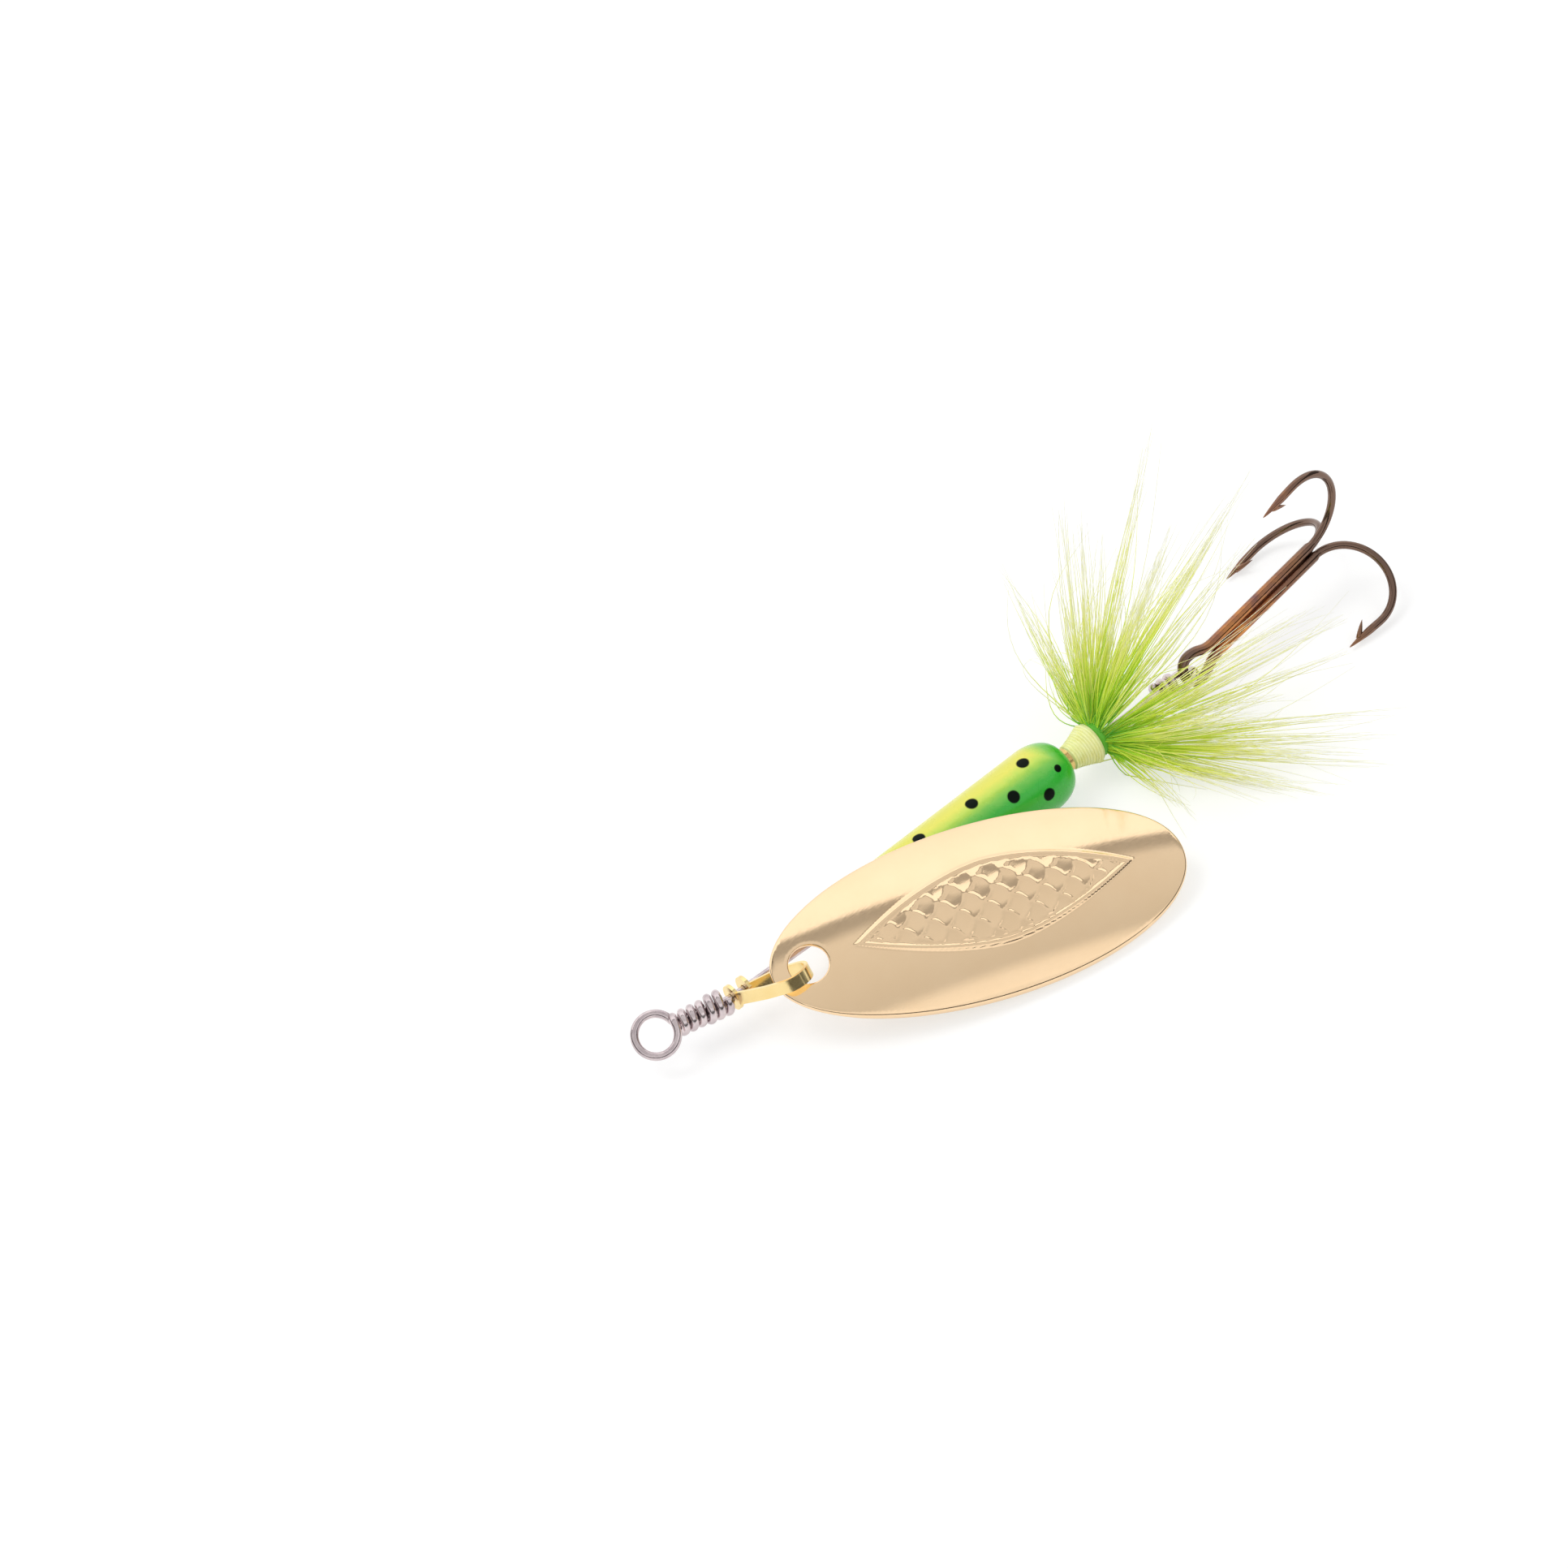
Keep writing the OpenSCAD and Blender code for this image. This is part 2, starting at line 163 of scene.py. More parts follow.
# mesh helpers
def smoothFaces(mesh):
    mesh.polygons.foreach_set("use_smooth", [True] * len(mesh.polygons))


def meshPiece(name, verts, faces, material, body):
    # a smooth piece from points in millimetres, riding on one body of the frame
    mesh = bpy.data.meshes.new(name)
    mesh.from_pydata([tuple(Vector(v) * mm) for v in verts], [], faces)
    mesh.update()
    obj = newObject(name, mesh)
    smoothFaces(mesh)
    if material:
        mesh.materials.append(material)
    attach(obj, body)
    tidyNormals(mesh)
    return obj


def tidyNormals(mesh):
    bm = bmesh.new()
    bm.from_mesh(mesh)
    bmesh.ops.remove_doubles(bm, verts=bm.verts, dist=1e-7)
    bmesh.ops.recalc_face_normals(bm, faces=bm.faces)
    bm.to_mesh(mesh)
    bm.free()


def bendPath(steps, start, step=6):
    # the bent wires' own steps: a line, an arc to the left or right, a roll about the wire
    points, here = [start.translation.copy()], start.copy()
    for kind, *size in steps:
        if kind == "line":
            for k in range(1, 4):
                points.append(here @ Vector((size[0] * k / 3, 0, 0)))
            here = here @ Matrix.Translation((size[0], 0, 0))
        elif kind == "roll":
            here = here @ Matrix.Rotation(math.radians(size[0]), 4, "X")
        else:
            r, angle = size
            side = 1 if angle > 0 else -1
            n = max(3, int(abs(angle) / step))
            for k in range(1, n + 1):
                t = angle * k / n
                points.append(here @ Vector((r * sin(abs(t)), side * r * (1 - cos(t)), 0)))
            here = here @ Matrix.Translation((r * sin(abs(angle)), side * r * (1 - cos(angle)), 0))
            here = here @ Matrix.Rotation(math.radians(angle), 4, "Z")
    return points, here


def ringFaces(a, b):
    # the faces between two closed rings of corners
    return [(a[k - 1], a[k], b[k], b[k - 1]) for k in range(len(a))]


def sweep(points, radii, sides=16, cap=0.25):
    # rings carried along the path without twist, closed by low cones at both ends
    pts = [Vector(p) for p in points]
    clean, rad = [pts[0]], [radii[0]]
    for p, r in zip(pts[1:], radii[1:]):
        if (p - clean[-1]).length > 1e-4:
            clean.append(p)
            rad.append(r)
    ahead, behind = clean[1:] + clean[-1:], clean[:1] + clean[:-1]
    tangents = [(b - a).normalized() for a, b in zip(behind, ahead)]
    side = tangents[0].orthogonal().normalized()
    turns = [360 * k / sides for k in range(sides)]
    verts, faces = [], []
    for p, t, r in zip(clean, tangents, rad):
        side = (side - t * side.dot(t)).normalized()
        other = t.cross(side)
        verts += [p + (side * cos(turn) + other * sin(turn)) * r for turn in turns]
    rings = [range(i * sides, (i + 1) * sides) for i in range(len(clean))]
    for a, b in zip(rings, rings[1:]):
        faces += ringFaces(a, b)
    for end, way in ((0, -cap), (-1, cap)):
        faces += [(rings[end][k - 1], rings[end][k], len(verts)) for k in range(sides)]
        verts.append(clean[end] + tangents[end] * way * rad[end])
    return verts, faces


def joined(*parts):
    verts, faces = [], []
    for v, f in parts:
        faces += [tuple(i + len(verts) for i in face) for face in f]
        verts += list(v)
    return verts, faces


def lathe(profile, sides=96):
    # profile of (x, r) in millimetres, closed on itself, around the shaft
    turns = [360 * k / sides for k in range(sides)]
    verts = [(x, axisY + r * cos(turn), r * sin(turn)) for x, r in profile for turn in turns]
    rings = [range(i * sides, (i + 1) * sides) for i in range(len(profile))]
    faces = [face for a, b in zip(rings, rings[1:] + rings[:1]) for face in ringFaces(a, b)]
    return verts, faces


# materials
def newMaterial(name):
    mat = bpy.data.materials.new(name)
    mat.use_nodes = True
    tree = mat.node_tree
    return mat, tree, tree.nodes["Principled BSDF"]


def node(tree, kind, **values):
    n = tree.nodes.new(kind)
    for key, value in values.items():
        if key in n.inputs:
            n.inputs[key].default_value = value
        else:
            setattr(n, key, value)
    return n


def setValues(n, values):
    for key, value in values.items():
        n.inputs[key].default_value = value


def objectNoise(tree, scale, detail=4.0, rough=0.55, stretch=(1, 1, 1)):
    coord = node(tree, "ShaderNodeTexCoord")
    mapping = node(tree, "ShaderNodeMapping")
    mapping.inputs["Scale"].default_value = stretch
    tree.links.new(coord.outputs["Object"], mapping.inputs["Vector"])
    noise = node(tree, "ShaderNodeTexNoise", Scale=scale, Detail=detail, Roughness=rough)
    tree.links.new(mapping.outputs[0], noise.inputs["Vector"])
    return noise.outputs[0]


def ramp(tree, source, stops):
    r = node(tree, "ShaderNodeValToRGB")
    while len(r.color_ramp.elements) < len(stops):
        r.color_ramp.elements.new(0.5)
    for e, (place, color) in zip(r.color_ramp.elements, stops):
        e.position = place
        e.color = (*color, 1)
    tree.links.new(source, r.inputs[0])
    return r.outputs[0]


def remap(tree, source, low, high, outLow, outHigh):
    m = node(tree, "ShaderNodeMapRange")
    setValues(m, {"From Min": low, "From Max": high, "To Min": outLow, "To Max": outHigh})
    tree.links.new(source, m.inputs["Value"])
    return m.outputs[0]


def calc(tree, operation, *values):
    # a math node over sockets and plain numbers
    n = node(tree, "ShaderNodeMath", operation=operation)
    for socket, value in zip(n.inputs, values):
        if isinstance(value, (int, float)):
            socket.default_value = value
        else:
            tree.links.new(value, socket)
    return n.outputs[0]


def joinedAxes(tree, **axes):
    join = node(tree, "ShaderNodeCombineXYZ")
    for axis, value in axes.items():
        tree.links.new(value, join.inputs[axis])
    return join.outputs[0]


def objectPlace(tree):
    coord = node(tree, "ShaderNodeTexCoord")
    split = node(tree, "ShaderNodeSeparateXYZ")
    tree.links.new(coord.outputs["Object"], split.inputs[0])
    return coord.outputs["Object"], split.outputs


def paintOver(tree, bsdf, mask, source, tone):
    # the source colour, giving way to one tone where the mask is full
    mix = node(tree, "ShaderNodeMix", data_type="RGBA")
    tree.links.new(mask, mix.inputs[0])
    tree.links.new(source, mix.inputs[6])
    mix.inputs[7].default_value = (*tone, 1)
    tree.links.new(mix.outputs[2], bsdf.inputs["Base Color"])


def bump(tree, source, strength, distance, bsdf):
    b = node(tree, "ShaderNodeBump", Strength=strength, Distance=distance)
    tree.links.new(source, b.inputs["Height"])
    tree.links.new(b.outputs[0], bsdf.inputs["Normal"])


def greyEnds(mat, eye, shank, bend, point, tone):
    # the eye and the bends are greyer than the brazed shanks between them
    tree, bsdf = mat.node_tree, mat.node_tree.nodes["Principled BSDF"]
    axes = objectPlace(tree)[1]
    front = remap(tree, axes["X"], eye * mm, shank * mm, 1, 0)
    back = remap(tree, axes["X"], bend * mm, point * mm, 0, 1)
    source = bsdf.inputs["Base Color"].links[0].from_socket
    paintOver(tree, bsdf, calc(tree, "MAXIMUM", front, back), source, tone)


def metal(name, light, dark, roughLow, roughHigh, scale, scratch=0.15):
    # clouds of two tones, and fine scratches along the shaft
    mat, tree, bsdf = newMaterial(name)
    bsdf.inputs["Metallic"].default_value = 1.0
    tones = ramp(tree, objectNoise(tree, scale, 5, 0.6), [(0.3, dark), (0.7, light)])
    tree.links.new(tones, bsdf.inputs["Base Color"])
    fine = objectNoise(tree, scale * 6, 3, 0.5, (1, 6, 6))
    tree.links.new(remap(tree, fine, 0.3, 0.7, roughLow, roughHigh), bsdf.inputs["Roughness"])
    bump(tree, fine, scratch, 0.00002, bsdf)
    return mat


wireMat = metal("stainlessWire", (0.80, 0.70, 0.70), (0.50, 0.42, 0.44), 0.08, 0.24, 700)
goldMat = metal("platedGold", (0.95, 0.705, 0.45), (0.93, 0.68, 0.425), 0.07, 0.15, 260, 0.06)
brassMat = metal("turnedBrass", (0.83, 0.60, 0.24), (0.66, 0.45, 0.16), 0.15, 0.32, 700)
hookMat = metal("bronzedHook", (0.70, 0.29, 0.07), (0.17, 0.09, 0.11), 0.05, 0.14, 330)
greyEnds(hookMat, 62.5, 66.0, 70.0, 79.0, (0.19, 0.12, 0.09))
clevisMat = metal("clevisGold", (0.97, 0.77, 0.38), (0.93, 0.70, 0.31), 0.10, 0.24, 400, 0.06)
print("metals made")

# blade
bladeSize = {
    "length": 38.6, "width": 16.6, "thick": 0.7, "crossR": 18.0, "longR": 92.0, "skew": 1.05, "full": 0.48,
    "hole": 3.4, "bar": 1.65, "slack": 0.05, "slim": 0.1, "slimFrom": 3.5, "slimTo": 7.5, "edge": 0.2,
    "yaw": -19.4, "pitch": -4.3, "lean": 22.0, "rimSteps": 150, "holeSteps": 72, "grid": 0.17, "rows": 52,
    "rimGap": 0.2, "holeGap": 0.16, "endGap": 0.6,
}
panelSize = {  # the stamped panel: pointed at both ends, with a raised border round rows of scales
    "middle": 20.6, "half": 12.6, "high": 3.9, "pointed": 1.7, "border": 0.34, "borderHigh": 0.14,
    "scale": 1.3, "scaleHigh": 0.13, "scaleCup": 2.5,
}


def halfWidth(t):
    u = t ** bladeSize["skew"]
    return bladeSize["width"] / 2 * max(0.0, 4 * u * (1 - u)) ** bladeSize["full"]


def domeHeight(x, y, under):
    r = bladeSize["crossR"] - (bladeSize["thick"] if under else 0)
    rho = bladeSize["longR"] - bladeSize["crossR"] + math.sqrt(r * r - y * y)
    return math.sqrt(rho * rho - (x - bladeSize["length"] / 2) ** 2) - bladeSize["longR"]


def softStep(x, low, high):
    t = min(1.0, max(0.0, (x - low) / (high - low)))
    return t * t * (3 - 2 * t)


def sheetHeight(x, y, under):
    # the sheet thins a little round its hole, where it turns in the clevis
    slim = bladeSize["slim"] * (1 - softStep(x, bladeSize["slimFrom"], bladeSize["slimTo"]))
    return domeHeight(x, y, under) + (slim if under else -slim)


def embossing(x, y):
    p = panelSize
    u, v = (x - p["middle"]) / p["half"], abs(y) / p["high"]
    inside = (1 - abs(u) ** p["pointed"] - v) * p["high"]
    border = max(0.0, 1 - abs(inside) / p["border"])
    height = p["borderHigh"] * softStep(border, 0.0, 0.7)
    if inside < p["border"] * 1.3:
        return height
    column = math.floor((x - p["middle"]) / p["scale"])
    across = (x - p["middle"]) / p["scale"] - column
    offset = (y / p["scale"] + column % 2 + 1) % 2 - 1
    d = math.hypot(across, offset)
    return height + p["scaleHigh"] * d ** p["scaleCup"] * (1 - softStep(d, 0.97, 1.1))


def bladeRim():
    # the oval, and the way out of it at each point
    b = bladeSize
    shares = [(1 - cos(180 * i / b["rimSteps"])) / 2 for i in range(b["rimSteps"] + 1)]
    rim = [(t * b["length"], halfWidth(t)) for t in shares]
    rim += [(t * b["length"], -halfWidth(t)) for t in reversed(shares[1:-1])]
    outs = []
    for i in range(len(rim)):
        d = (Vector(rim[(i + 1) % len(rim)]) - Vector(rim[i - 1])).normalized()
        outs.append(Vector((-d.y, d.x)))
    return rim, outs


def bladeHoleRim():
    b = bladeSize
    middle, r = b["bar"] + b["hole"] / 2, b["hole"] / 2 + b["slack"]
    turns = [360 * k / b["holeSteps"] for k in range(b["holeSteps"])]
    rim = [(middle + r * cos(turn), r * sin(turn)) for turn in turns]
    return rim, [Vector((middle - x, -y)).normalized() for x, y in rim]


def bladeSheet(loops):
    # triangles of the flat part: its rims stand in by the rounded edge, and a grid fills it
    b, edge = bladeSize, bladeSize["edge"]
    holeX, holeR = b["bar"] + b["hole"] / 2, b["hole"] / 2 + b["slack"]

    def inSheet(x, y, rimGap, holeGap):
        return abs(y) < halfWidth(x / b["length"]) - rimGap and math.hypot(x - holeX, y) > holeR + holeGap

    flat, edges = [], []
    for rim, outs in loops:
        first, count = len(flat), len(rim)
        flat += [Vector(p) - out * edge for p, out in zip(rim, outs)]
        edges += [(first + k, first + (k + 1) % count) for k in range(count)]
    for i in range(int(b["length"] / b["grid"])):
        for j in range(-b["rows"], b["rows"] + 1):
            x, y = (i + 0.5 * (j % 2)) * b["grid"], j * b["grid"] * 0.87
            if not b["endGap"] < x < b["length"] - b["endGap"]:
                continue
            if inSheet(x, y, edge + b["rimGap"], edge + b["holeGap"]):
                flat.append(Vector((x, y)))
    made = delaunay_2d_cdt(flat, edges, [], 0, 1e-6)
    points, triangles, origin = made[0], made[2], made[3]
    kept = []
    for f in triangles:
        c = sum((Vector(points[i]) for i in f), Vector((0, 0))) / len(f)
        if 0 < c.x < b["length"] and inSheet(c.x, c.y, edge * 0.98, edge * 0.99):
            kept.append(tuple(f))
    return points, kept, {source: i for i, sources in enumerate(origin) for source in sources}


def makeBlade():
    b, edge, bar = bladeSize, bladeSize["edge"], bladeSize["bar"] / 2
    loops = (bladeRim(), bladeHoleRim())
    points, kept, where = bladeSheet(loops)
    verts = []
    for under in (False, True):
        verts += [(x, y, sheetHeight(x, y, under) + embossing(x, y)) for x, y in points]
    below = len(points)
    faces = kept + [tuple(below + i for i in reversed(f)) for f in kept]
    first = 0
    for rim, outs in loops:
        count = len(rim)
        top = [where[first + i] for i in range(count)]
        rows = [top]
        for under, turns in ((False, (22.5, 45, 67.5, 90)), (True, (90, 67.5, 45, 22.5))):
            for turn in turns:  # the edge is rounded from both sides
                rows.append(list(range(len(verts), len(verts) + count)))
                drop = edge * (1 - cos(turn)) * (1 if under else -1)
                for p, out in zip(rim, outs):
                    q = Vector(p) + out * edge * (sin(turn) - 1)
                    verts.append((q.x, q.y, sheetHeight(q.x, q.y, under) + drop))
        rows.append([below + i for i in top])
        for a, c in zip(rows, rows[1:]):
            faces += ringFaces(a, c)
        first += count
    lift = b["longR"] - math.sqrt(b["longR"] ** 2 - (b["length"] / 2 - bar) ** 2) + b["thick"] / 2
    place = Matrix.Translation(Vector(joints["blade_swing"]["pos_m"]) / mm)
    for angle, axis in ((b["yaw"], "Z"), (-b["pitch"], "Y"), (b["lean"], "X")):
        place = place @ Matrix.Rotation(math.radians(angle), 4, axis)
    verts = [place @ (Vector(v) + Vector((-bar, 0, lift))) for v in verts]
    blade = meshPiece("bladeSheet", verts, faces, goldMat, "blade")
    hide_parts("blade")
    holeX = b["bar"] + b["hole"] / 2
    return blade, place @ Vector((holeX - bar, 0, domeHeight(holeX, 0, False) + lift)) * mm


blade, bladeHole = makeBlade()
print("blade made", len(blade.data.polygons))

# shaft wire, one bent length from tag end to tag end
wireSize = {
    "r": 0.375, "eyeR": 1.875, "eyeNeck": 1.0, "rearR": 1.15, "rearNeck": 1.6, "pitch": 0.85, "coilR": 0.81,
    "loose": 0.15, "close": 7, "tag": 5, "rearTurns": 5, "bend": 12.0, "corner": 0.4, "eyeRoll": 39.0,
    "rearRoll": 150.0,
}


def loopSteps(neck, r):
    a = math.degrees(math.acos(neck / (neck + r)))
    tilt = math.degrees(math.asin(wireSize["coilR"] / 2 / r))
    return [("arc", neck, -a), ("arc", r, 90 + a), ("roll", tilt), ("arc", r, 180)], tilt


def coilSteps(halves, r, entry):
    climb = math.degrees(math.asin(wireSize["pitch"] / 4 / r))
    steps = []
    for i in range(halves):
        steps += [("roll", -climb - (entry if i == 0 else climb)), ("arc", r, 180)]
    return steps, climb


def loopOffset(neck, r):
    return math.sqrt((neck + r) ** 2 - neck ** 2)


def makeWire():
    w = wireSize
    eyeToBend = w["eyeR"] + (w["close"] + w["tag"]) * w["pitch"] / 2 + w["r"]
    bendX = eyeToBend * cos(w["bend"])
    neckX = eyeToBend - loopOffset(w["eyeNeck"], w["eyeR"])
    front = Matrix.Translation((bendX, axisY, 0)) @ Matrix.Rotation(math.radians(-w["bend"]), 4, "Z")
    front = front @ Matrix.Translation((-neckX, 0, 0)) @ Matrix.Rotation(math.radians(w["eyeRoll"]), 4, "X")
    front = front @ Matrix.Rotation(math.pi, 4, "Z")
    loop, tilt = loopSteps(w["eyeNeck"], w["eyeR"])
    close, climb = coilSteps(w["close"], w["coilR"], 90 - tilt)
    tag, _ = coilSteps(w["tag"], w["coilR"] + w["loose"], climb)
    eyeRun, _ = bendPath(loop + close + tag, front, step=5)
    rearNeckX = linkX - loopOffset(w["rearNeck"], w["rearR"]) - w["rearR"]
    rear = Matrix.Translation((rearNeckX, axisY, 0)) @ Matrix.Rotation(math.radians(w["rearRoll"]), 4, "X")
    loop, tilt = loopSteps(w["rearNeck"], w["rearR"])
    coil, _ = coilSteps(w["rearTurns"], w["coilR"], 90 - tilt)
    rearRun, _ = bendPath(loop + coil, rear, step=5)
    reach = bendX + w["corner"] - rearNeckX
    middle = [Vector((rearNeckX + reach * k / 24, axisY, 0)) for k in range(1, 25)]
    turned = Vector((bendX - w["corner"] * cos(w["bend"]), axisY + w["corner"] * sin(w["bend"]), 0))
    run = list(reversed(rearRun)) + middle + [turned] + eyeRun
    verts, faces = sweep(run, [w["r"]] * len(run), sides=18)
    wire = meshPiece("shaftWire", verts, faces, wireMat, "wire")
    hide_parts("shaft_wire")
    return wire


wire = makeWire()
print("wire made", len(wire.data.polygons))

# body on its sleeve
bodySize = {
    "nose": 5.2, "noseRound": 1.0, "wide": 6.44, "shoulder": 3.0, "rearFace": 3.0, "bore": 0.895,
    "dotR": 0.66, "greenTurn": 200.0, "greenFrom": -0.34, "greenTo": 0.50, "spray": 0.16, "rearFrom": 3.2,
    "rearTo": 0.8,
}
# painted dots: place along the shaft in mm, degrees round it, share of the full size
paintDots = [
    (38.7, 129, 1.0), (43.8, 133, 0.62), (29.4, 86, 1.0), (25.7, 25, 0.9), (26.5, 215, 1.0), (30.5, 250, 0.9),
    (31.5, 335, 1.0), (35.5, 205, 1.1), (37.0, 300, 0.9), (36.0, 20, 1.0), (40.5, 240, 1.0), (41.0, 340, 1.1),
    (43.6, 275, 0.8), (44.6, 212, 0.9), (44.2, 25, 0.9), (28.6, 15, 0.8),
]


def bodyProfile():
    b, x0, x1 = bodySize, bodyLow.x / mm, bodyHigh.x / mm
    back, rear, turn = x1 - b["shoulder"], b["rearFace"] / 2, b["noseRound"]
    outline = [(x1, b["bore"]), (x0, b["bore"])]
    outline += [(x0 + turn * (1 - sin(a)), b["nose"] / 2 - turn * (1 - cos(a))) for a in range(90, -1, -10)]
    fromX, fromR = outline[-1]
    alongX, alongR = back - fromX, b["wide"] / 2 - fromR
    outline += [(fromX + alongX * k / 12, fromR + alongR * k / 12) for k in range(1, 12)]
    swell = b["wide"] / 2 - rear
    outline += [(back + b["shoulder"] * sin(a), rear + swell * cos(a)) for a in range(0, 91, 6)]
    return outline


def bodyRadius(x):
    b = bodySize
    front, back = bodyLow.x / mm + b["noseRound"], bodyHigh.x / mm - b["shoulder"]
    if x > back:
        face = b["rearFace"] / 2
        return face + (b["wide"] / 2 - face) * math.sqrt(max(0.0, 1 - ((x - back) / b["shoulder"]) ** 2))
    share = max(0.0, (x - front) / (back - front))
    return (b["nose"] + (b["wide"] - b["nose"]) * share) / 2


def makeBodyMaterial(dots):
    b = bodySize
    mat, tree, bsdf = newMaterial("bodyPaint")
    link = tree.links.new
    place, axes = objectPlace(tree)
    y = calc(tree, "SUBTRACT", axes["Y"], axisY * mm)
    # how far a place faces the green back, from the cosine of its turn about the shaft
    unit = node(tree, "ShaderNodeVectorMath", operation="NORMALIZE")
    link(joinedAxes(tree, Y=y, Z=axes["Z"]), unit.inputs[0])
    facing = node(tree, "ShaderNodeVectorMath", operation="DOT_PRODUCT")
    link(unit.outputs[0], facing.inputs[0])
    facing.inputs[1].default_value = (0, cos(b["greenTurn"]), sin(b["greenTurn"]))
    sprayed = calc(tree, "MULTIPLY_ADD", objectNoise(tree, 1400, 3, 0.5), b["spray"], facing.outputs["Value"])
    back = remap(tree, sprayed, b["greenFrom"], b["greenTo"], 0, 1)
    rear = remap(tree, axes["X"], bodyHigh.x - b["rearFrom"] * mm, bodyHigh.x - b["rearTo"] * mm, 0, 1)
    paint = ramp(tree, calc(tree, "MAXIMUM", back, rear), [
        (0.0, (0.84, 0.82, 0.10)), (0.3, (0.58, 0.78, 0.09)), (0.65, (0.19, 0.60, 0.07)),
        (1.0, (0.02, 0.50, 0.025)),
    ])
    mask = None
    for *dot, share in dots:
        away = node(tree, "ShaderNodeVectorMath", operation="DISTANCE")
        link(place, away.inputs[0])
        away.inputs[1].default_value = dot
        r = b["dotR"] * mm * share
        one = remap(tree, away.outputs["Value"], r, r * 0.82, 0, 1)
        mask = calc(tree, "MAXIMUM", mask, one) if mask else one
    paintOver(tree, bsdf, mask, paint, (0.001, 0.006, 0.002))
    rough = objectNoise(tree, 500, 3, 0.5)
    link(remap(tree, rough, 0.3, 0.7, 0.22, 0.34), bsdf.inputs["Roughness"])
    # the dots are flat ink on the lacquer, so they mirror less of the bright room
    link(remap(tree, mask, 0, 1, 0.5, 0.08), bsdf.inputs["Specular IOR Level"])
    link(remap(tree, mask, 0, 1, 0.25, 0), bsdf.inputs["Coat Weight"])
    bsdf.inputs["Coat Roughness"].default_value = 0.06
    bump(tree, rough, 0.1, 0.00003, bsdf)
    return mat


def makeBody():
    verts, faces = lathe(bodyProfile(), 128)
    body = meshPiece("paintedBody", verts, faces, None, "dressed_body")
    tree = surfaceOf(body)
    dots = [(*seenPlace(tree, *photoPoints[name]), 1.0) for name in photoDots]
    for x, turn, share in paintDots:
        r = bodyRadius(x)
        dots.append((x * mm, (axisY + r * cos(turn)) * mm, r * sin(turn) * mm, share))
    body.data.materials.append(makeBodyMaterial(dots))
    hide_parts("body")
    return body


body = makeBody()
print("body made")

turnedParts = {"clevis": clevisMat, "bead_front": brassMat, "bead_rear": brassMat, "sleeve": brassMat}
for name, mat in turnedParts.items():  # these show their solids as they are
    part = frame["nodes"][name]
    part.data.materials.clear()
    part.data.materials.append(mat)

# thread collar: laid turn by turn on a tapered core
threadSize = {
    "front": 2.5, "rear": 4.2, "taper": 1.3, "turns": 10, "strand": 0.3, "sunk": 0.62, "bore": 0.9,
    "steps": 560, "strandSides": 8,
}


def makeThreadMaterial():
    mat, tree, bsdf = newMaterial("waxedThread")
    stops = [(0.25, (0.90, 0.88, 0.32)), (0.5, (0.98, 0.98, 0.46)), (0.8, (1.0, 1.0, 0.60))]
    tree.links.new(ramp(tree, objectNoise(tree, 1500, 4, 0.6), stops), bsdf.inputs["Base Color"])
    setValues(bsdf, {"Roughness": 0.55, "Sheen Weight": 0.2})
    bump(tree, objectNoise(tree, 5000, 4, 0.6), 0.35, 0.00004, bsdf)
    return mat


def newGroup(name, inputs):
    # a geometry group with an input for each value that its modifier is given
    group = bpy.data.node_groups.new(name, "GeometryNodeTree")
    new = group.interface.new_socket
    new("Geometry", in_out="INPUT", socket_type="NodeSocketGeometry")
    for label, value in inputs.items():
        kind = {int: "Int", float: "Float"}.get(type(value), "Material")
        new(label, in_out="INPUT", socket_type="NodeSocket" + kind)
    new("Geometry", in_out="OUTPUT", socket_type="NodeSocketGeometry")
    return group, node(group, "NodeGroupInput"), node(group, "NodeGroupOutput")


def tubed(group, curve, sides, radius, given, out, scale=None):
    # round tubes along the curves, made real and given their material: the end of every tree
    link = group.links.new
    circle = node(group, "GeometryNodeCurvePrimitiveCircle", Resolution=sides)
    if isinstance(radius, float):
        circle.inputs["Radius"].default_value = radius
    else:
        link(radius, circle.inputs["Radius"])
    tube = node(group, "GeometryNodeCurveToMesh")
    link(curve, tube.inputs["Curve"])
    link(circle.outputs[0], tube.inputs["Profile Curve"])
    if scale:
        link(scale, tube.inputs["Scale"])
    tube.inputs["Fill Caps"].default_value = True
    real = node(group, "GeometryNodeRealizeInstances")
    link(tube.outputs[0], real.inputs[0])
    paint = node(group, "GeometryNodeSetMaterial")
    link(real.outputs[0], paint.inputs["Geometry"])
    link(given["Material"], paint.inputs["Material"])
    link(paint.outputs[0], out.inputs[0])


def grown(name, points, makeTree, values, body, marks=()):
    # a geometry tree run on marked points, and its result kept as a plain mesh
    seedMesh = bpy.data.meshes.new(name + "Seed")
    seedMesh.from_pydata([tuple(p) for p in points], [], [])
    for mark, kind, key, entries in marks:
        for spot, entry in zip(seedMesh.attributes.new(mark, kind, "POINT").data, entries):
            setattr(spot, key, entry)
    seed = newObject(name + "Seed", seedMesh)
    mod = seed.modifiers.new("grow", "NODES")
    mod.node_group = makeTree(values)
    for item in mod.node_group.interface.items_tree:
        if item.in_out == "INPUT" and item.name in values:
            mod[item.identifier] = values[item.name]
    graph = bpy.context.evaluated_depsgraph_get()
    source = seed.evaluated_get(graph)
    mesh = bpy.data.meshes.new_from_object(source, preserve_all_data_layers=True, depsgraph=graph)
    bpy.data.objects.remove(seed)
    smoothFaces(mesh)
    made = newObject(name, mesh)
    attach(made, body)
    return made


